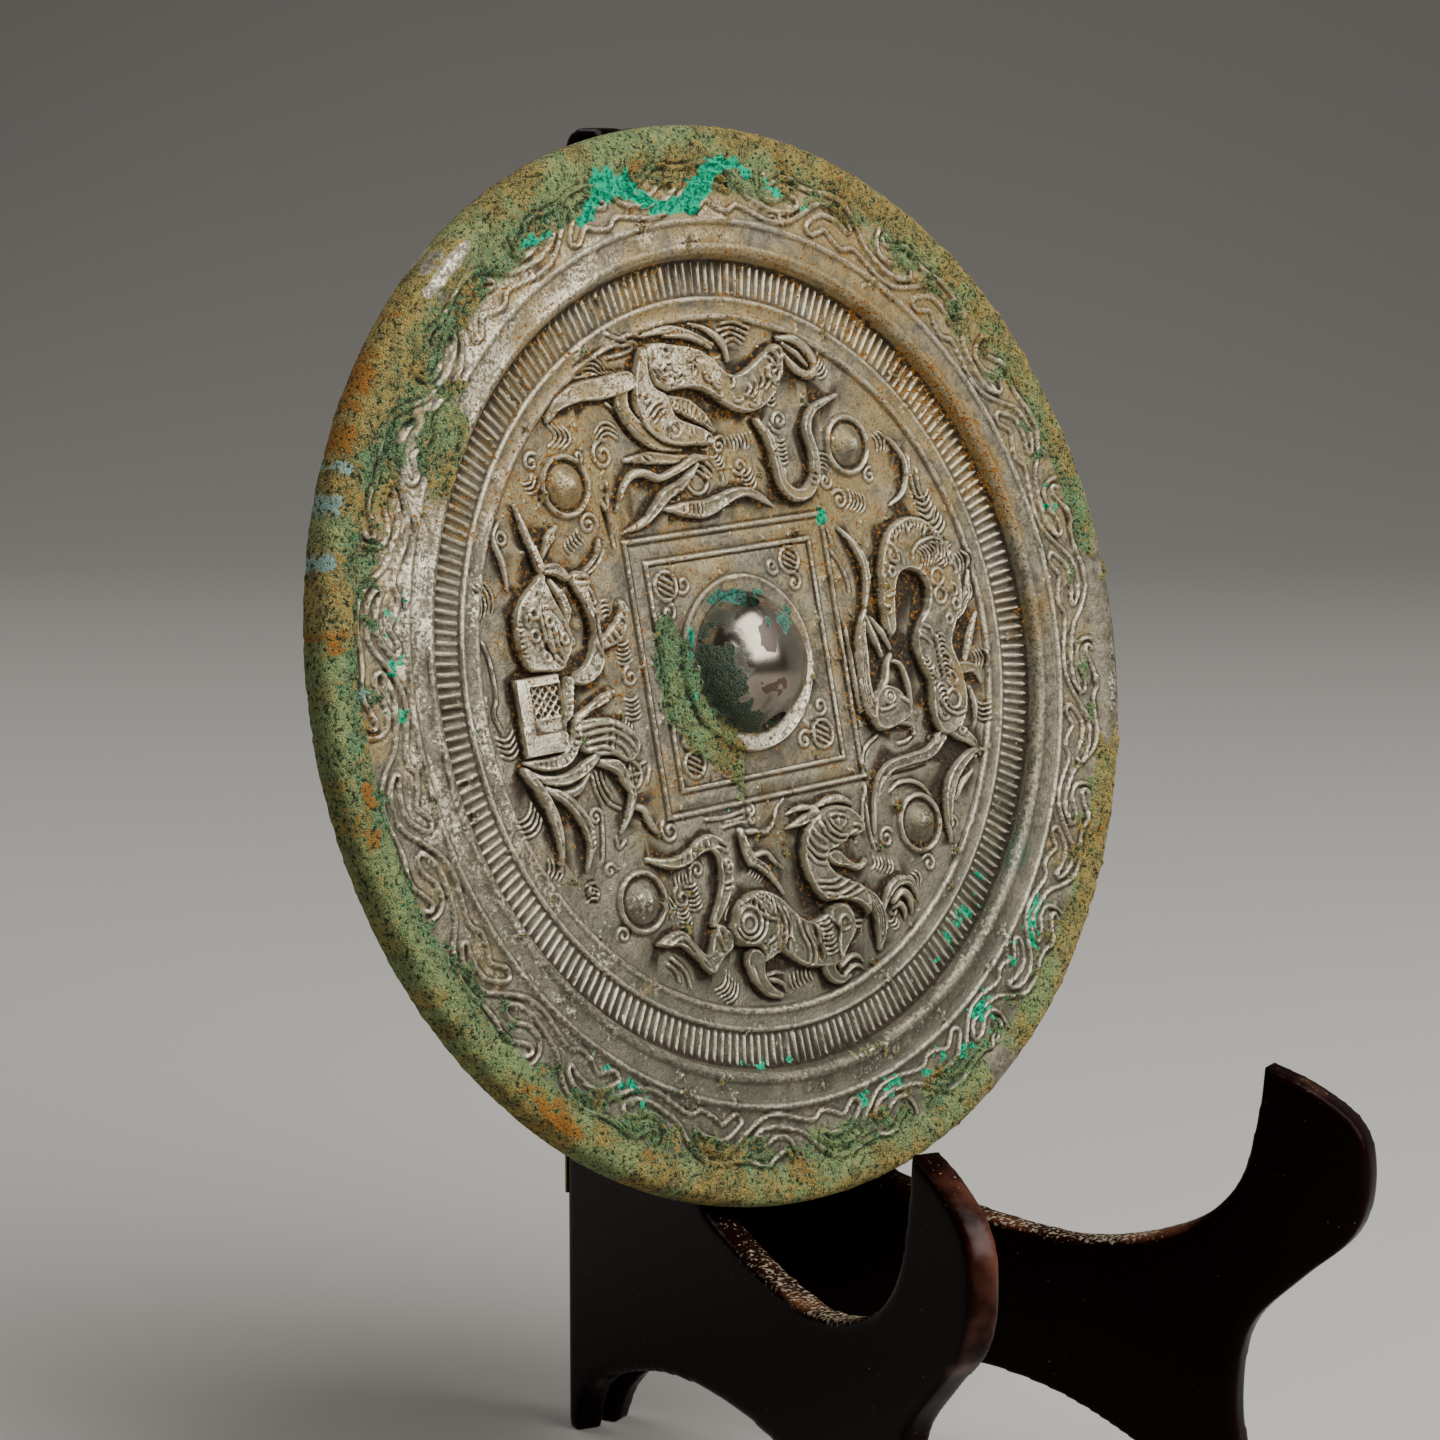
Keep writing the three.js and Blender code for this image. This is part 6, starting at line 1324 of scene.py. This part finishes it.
# %% [markdown]
# ## Aged brass
# The hinge leaves, pins and nails are small brass parts with a brown tarnish. They could be modelled again,
# but their shapes are simple and right as the frame gives them, so they stay and only get this finish.

# %% Brass of the hinges
brass, tree = new_material("aged_brass")
place = add(tree, "ShaderNodeTexCoord").outputs["Object"]
tarnish = add(tree, "ShaderNodeTexNoise", None, {"Vector": place, "Scale": per_metre(3), "Detail": 5})
shader = add(tree, "ShaderNodeBsdfPrincipled", None, {
    "Base Color": stack(tree, "#b08c45", [("#5d4a28", tarnish, 1)], COLOURS), "Metallic": 1.0,
    "Roughness": stack(tree, 0.25, [(0.5, tarnish, 1)], NUMBERS)})
add(tree, "ShaderNodeOutputMaterial", None, {"Surface": shader})
hinge_parts = [name for name in frame["nodes"] if name.startswith("hinge_")]
for name in hinge_parts:
    frame["nodes"][name].data.materials.clear()
    frame["nodes"][name].data.materials.append(brass)
print(len(hinge_parts), "hinge parts in brass")

# %% [markdown]
# ## The stand's boards
# Each board is sawn from 6 mm wood to one outline: a foot, an arch, a hook that holds the mirror's edge, a
# cradle and a tall upright. The outline could be extruded and bevelled, but its many close corners spoil a
# bevel. So it is extruded, remeshed into small even faces and smoothed, which rounds the edges as sanding and
# lacquer do, and gives enough corners to carry the wear.

# %% Outline of a board: mm from the spine, and mm up
BOARD_THICKNESS, SPINE_GAP, HALF_SPREAD = 6.0, 0.2, math.radians(17.4)
UPRIGHT_SLOPE = math.tan(LEAN_BACK) / math.cos(HALF_SPREAD)
BOARD_HEIGHT, UPRIGHT_DEPTH = 252, 39.7      # mm, the depth as high as the mirror's centre


def upright_front(height):
    """Front edge of the upright, parallel to the leaning mirror."""
    return UPRIGHT_DEPTH - (height - CENTRE_UP) * UPRIGHT_SLOPE


def bend(start, middle, end, steps=8):
    """A rounded corner between two places, drawn towards a third."""
    t = np.linspace(0, 1, steps + 1)[:, None]
    start, middle, end = map(np.array, (start, middle, end))
    return start * (1 - t) ** 2 + 2 * middle * t * (1 - t) + end * t * t


ARCH = [(4, 0), (6.5, 7), (13, 13), (27, 18.6), (46, 23.6), (70, 25.4), (94, 22.6), (112, 15.6), (123, 8),
        (129, 0)]
HOOK_FRONT = [(141, 0), (135.2, 14), (133.4, 26), (135.8, 39.4), (145.2, 49.6), (154.6, 58.4), (157.6, 68),
              (155.6, 78), (147, 84.2), (137.6, 87.6)]
CRADLE = [(137.6, 87.6), (136.2, 77), (132.6, 65), (123, 56.6), (105, 51.4), (86, 52.6), (66, 57),
          (60.6, 59.1)]
outline = np.vstack([
    [(0, 0)], smooth_way(ARCH, 3), smooth_way(HOOK_FRONT, 2.5), smooth_way(CRADLE, 2.5)[1:],
    bend((60.6, 59.1), (upright_front(60), 60), (upright_front(64), 64))[1:],
    bend((upright_front(246), 246), (upright_front(BOARD_HEIGHT), BOARD_HEIGHT), (14, BOARD_HEIGHT)),
    bend((8, BOARD_HEIGHT), (0, BOARD_HEIGHT), (0, 243)),
])
print("board outline:", len(outline), "corners")

# %% Saw and round a board
SANDED_STEP = 0.95         # mm, the even little faces of a sanded board


def sawn_board(name):
    """A board of the outline, extruded to its thickness, remeshed and smoothed."""
    bpy.ops.object.select_all(action="DESELECT")
    bpy.ops.mesh.primitive_circle_add(vertices=len(outline), fill_type="NGON")
    board = bpy.context.active_object
    board.name = name
    place_corners(board, np.column_stack([np.full(len(outline), SPINE_GAP), -outline[:, 0], outline[:, 1]]))
    bpy.ops.object.mode_set(mode="EDIT")
    bpy.ops.mesh.select_all(action="SELECT")
    bpy.ops.mesh.extrude_region_move(TRANSFORM_OT_translate={"value": (BOARD_THICKNESS, 0, 0)})
    bpy.ops.mesh.select_all(action="SELECT")
    bpy.ops.mesh.quads_convert_to_tris()
    bpy.ops.mesh.normals_make_consistent(inside=False)
    bpy.ops.object.mode_set(mode="OBJECT")
    bpy.ops.object.modifier_add(type="REMESH")
    board.modifiers[-1].mode = "VOXEL"
    board.modifiers[-1].voxel_size = SANDED_STEP
    bpy.ops.object.modifier_apply(modifier=board.modifiers[-1].name)
    bpy.ops.object.modifier_add(type="SMOOTH")
    board.modifiers[-1].factor = 0.5
    board.modifiers[-1].iterations = 4
    bpy.ops.object.modifier_apply(modifier=board.modifiers[-1].name)
    return board


print("boards are sanded in steps of", SANDED_STEP, "mm")


# %% Wear and dust along a board's edges
def patch(s, z, s0, z0, s_reach, z_reach):
    """A soft patch, 1 at its middle; s is mm from the spine and z is mm up."""
    return np.exp(-((s - s0) / s_reach) ** 2 - ((z - z0) / z_reach) ** 2)


HOOK_WEAR = {"left": 0.5, "right": 0.25}


def wear_board(board, side_name):
    """Wear along the edges, most at the hook and the cradle, and dust on the cradle."""
    co = corners_of(board)
    s, z = -co[:, 1], co[:, 2]
    near_edge = np.exp(-(along(outline, s, z)[0] / 1.5) ** 2)
    on_hook = patch(s, z, 153, 70, 9, 12)
    on_cradle = patch(s, z, 104, 55, 36, 7)
    inside_hook = patch(s, z, 134, 66, 6, 12)
    on_tip = patch(s, z, 146, 85, 9, 4)
    write_mask(board, "worn", near_edge * (0.15 + HOOK_WEAR[side_name] * on_hook + 0.45 * on_cradle
                                           + 0.4 * inside_hook + 0.2 * on_tip))
    write_mask(board, "dusty", near_edge * (on_cradle * (0.4 + 0.25 * (s < 118)) + 0.2 * on_tip) * (z > 50))


print("wear at the hooks:", HOOK_WEAR)

# %% Both boards, into the stand
for side_name, side in [("left", -1), ("right", 1)]:
    board = sawn_board(f"stand_board_{side_name}_lacquered")
    wear_board(board, side_name)
    place_corners(board, corners_of(board) * MM)
    board.data.transform(Matrix.Translation((0, spine_y, 0)) @ Matrix.Scale(side, 4, (1, 0, 0))
                         @ Matrix.Rotation(HALF_SPREAD, 4, "Z"))
    if side < 0:
        board.data.flip_normals()
    bpy.ops.object.shade_smooth()
    board.data.materials.append(wood)
    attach(board, f"{side_name}_half")
    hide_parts(f"stand_board_{side_name}")
    print(board.name, len(board.data.polygons), "faces")

# %% [markdown]
# ## Floor, lights and camera
# A pale paper sweep is floor and backdrop at once, so no edge shows behind the object. It could be two
# planes, but their corner would show. The main softbox is large, in front and high up, so that flat faces
# stay calm, ridges glint and the walls that face left stay dark. It also shows in the knob. Two weaker ones
# open up the right and draw the top edges from behind.

# %% Floor and backdrop, in one sweep
VIEW_TURN = math.radians(-43.5)
SWEEP_SIDE, SWEEP_HEIGHT, SWEEP_BEND = 6, 3, 1.4      # metres
bpy.ops.object.select_all(action="DESELECT")
bpy.ops.mesh.primitive_plane_add(size=SWEEP_SIDE)
floor = bpy.context.active_object
floor.name = "studio_sweep"
bpy.ops.object.mode_set(mode="EDIT")
bpy.ops.mesh.select_mode(type="EDGE")
bpy.ops.mesh.select_all(action="DESELECT")
bpy.ops.object.mode_set(mode="OBJECT")
corners = corners_of(floor)
for far_edge in floor.data.edges:
    far_edge.select = all(corners[v][1] > 0 for v in far_edge.vertices)
bpy.ops.object.mode_set(mode="EDIT")
bpy.ops.mesh.extrude_region_move(TRANSFORM_OT_translate={"value": (0, 0, SWEEP_HEIGHT)})
bpy.ops.mesh.select_all(action="DESELECT")
bpy.ops.object.mode_set(mode="OBJECT")
corners = corners_of(floor)
for fold in floor.data.edges:
    fold.select = all(corners[v][1] > 0 and corners[v][2] < 1 for v in fold.vertices)
bpy.ops.object.mode_set(mode="EDIT")
bpy.ops.mesh.bevel(offset=SWEEP_BEND, segments=24, affect="EDGES")
bpy.ops.object.mode_set(mode="OBJECT")
floor.rotation_euler = (0, 0, VIEW_TURN)
bpy.ops.object.transform_apply(location=False, rotation=True, scale=False)
bpy.ops.object.shade_smooth()
paper, tree = new_material("pale_paper_sweep")
shader = add(tree, "ShaderNodeBsdfPrincipled", None, {"Base Color": "#b9b5ae", "Roughness": 0.9})
add(tree, "ShaderNodeOutputMaterial", None, {"Surface": shader})
floor.data.materials.append(paper)
print("sweep:", len(floor.data.polygons), "faces")


# %% Lights
def softbox(name, azimuth, elevation, distance, width, height, watts):
    """A soft light that looks at the mirror. Azimuth 0 is in front and 90 to the right."""
    a, e = math.radians(azimuth), math.radians(elevation)
    away = Vector((math.sin(a) * math.cos(e), -math.cos(a) * math.cos(e), math.sin(e)))
    bpy.ops.object.light_add(type="AREA", location=MIRROR_CENTRE + away * distance)
    light = bpy.context.active_object
    light.name = name
    light.data.shape = "RECTANGLE"
    light.data.size, light.data.size_y = width, height
    light.data.energy = watts
    light.rotation_euler = away.to_track_quat("Z", "Y").to_euler()
    print(name, watts, "W")


SOFTBOXES = [  # name, azimuth, elevation, distance, width, height, watts
    ("front_softbox", 14, 45, 1.15, 0.95, 1.45, 29),
    ("right_softbox", 78, 22, 1.5, 1.6, 1.6, 2.5),
    ("back_softbox", 190, 40, 1.7, 1.4, 0.8, 9),
]
ROOM_GREY, ROOM_STRENGTH = "#8c8c8c", 0.14
world = bpy.data.worlds.new("studio")
bpy.context.scene.world = world
world.use_nodes = True
world.node_tree.nodes["Background"].inputs["Color"].default_value = linear(ROOM_GREY)
world.node_tree.nodes["Background"].inputs["Strength"].default_value = ROOM_STRENGTH
for box in SOFTBOXES:
    softbox(*box)

# %% Camera
CAMERA_PLACE, CAMERA_FORWARD = (-0.4918, -0.4804, 0.2503), (0.6808, 0.7174, -0.1478)
LENS, SENSOR_WIDTH = 97.5, 36                         # mm
bpy.ops.object.camera_add(location=CAMERA_PLACE)
camera = bpy.context.active_object
camera.name = "camera"
camera.data.lens = LENS
camera.data.sensor_width = SENSOR_WIDTH
forward = Vector(CAMERA_FORWARD).normalized()
camera.rotation_euler = forward.to_track_quat("-Z", "Y").to_euler()
bpy.context.scene.camera = camera
print("camera lens:", camera.data.lens, "mm")

# %% Finish
bpy.context.view_layer.update()
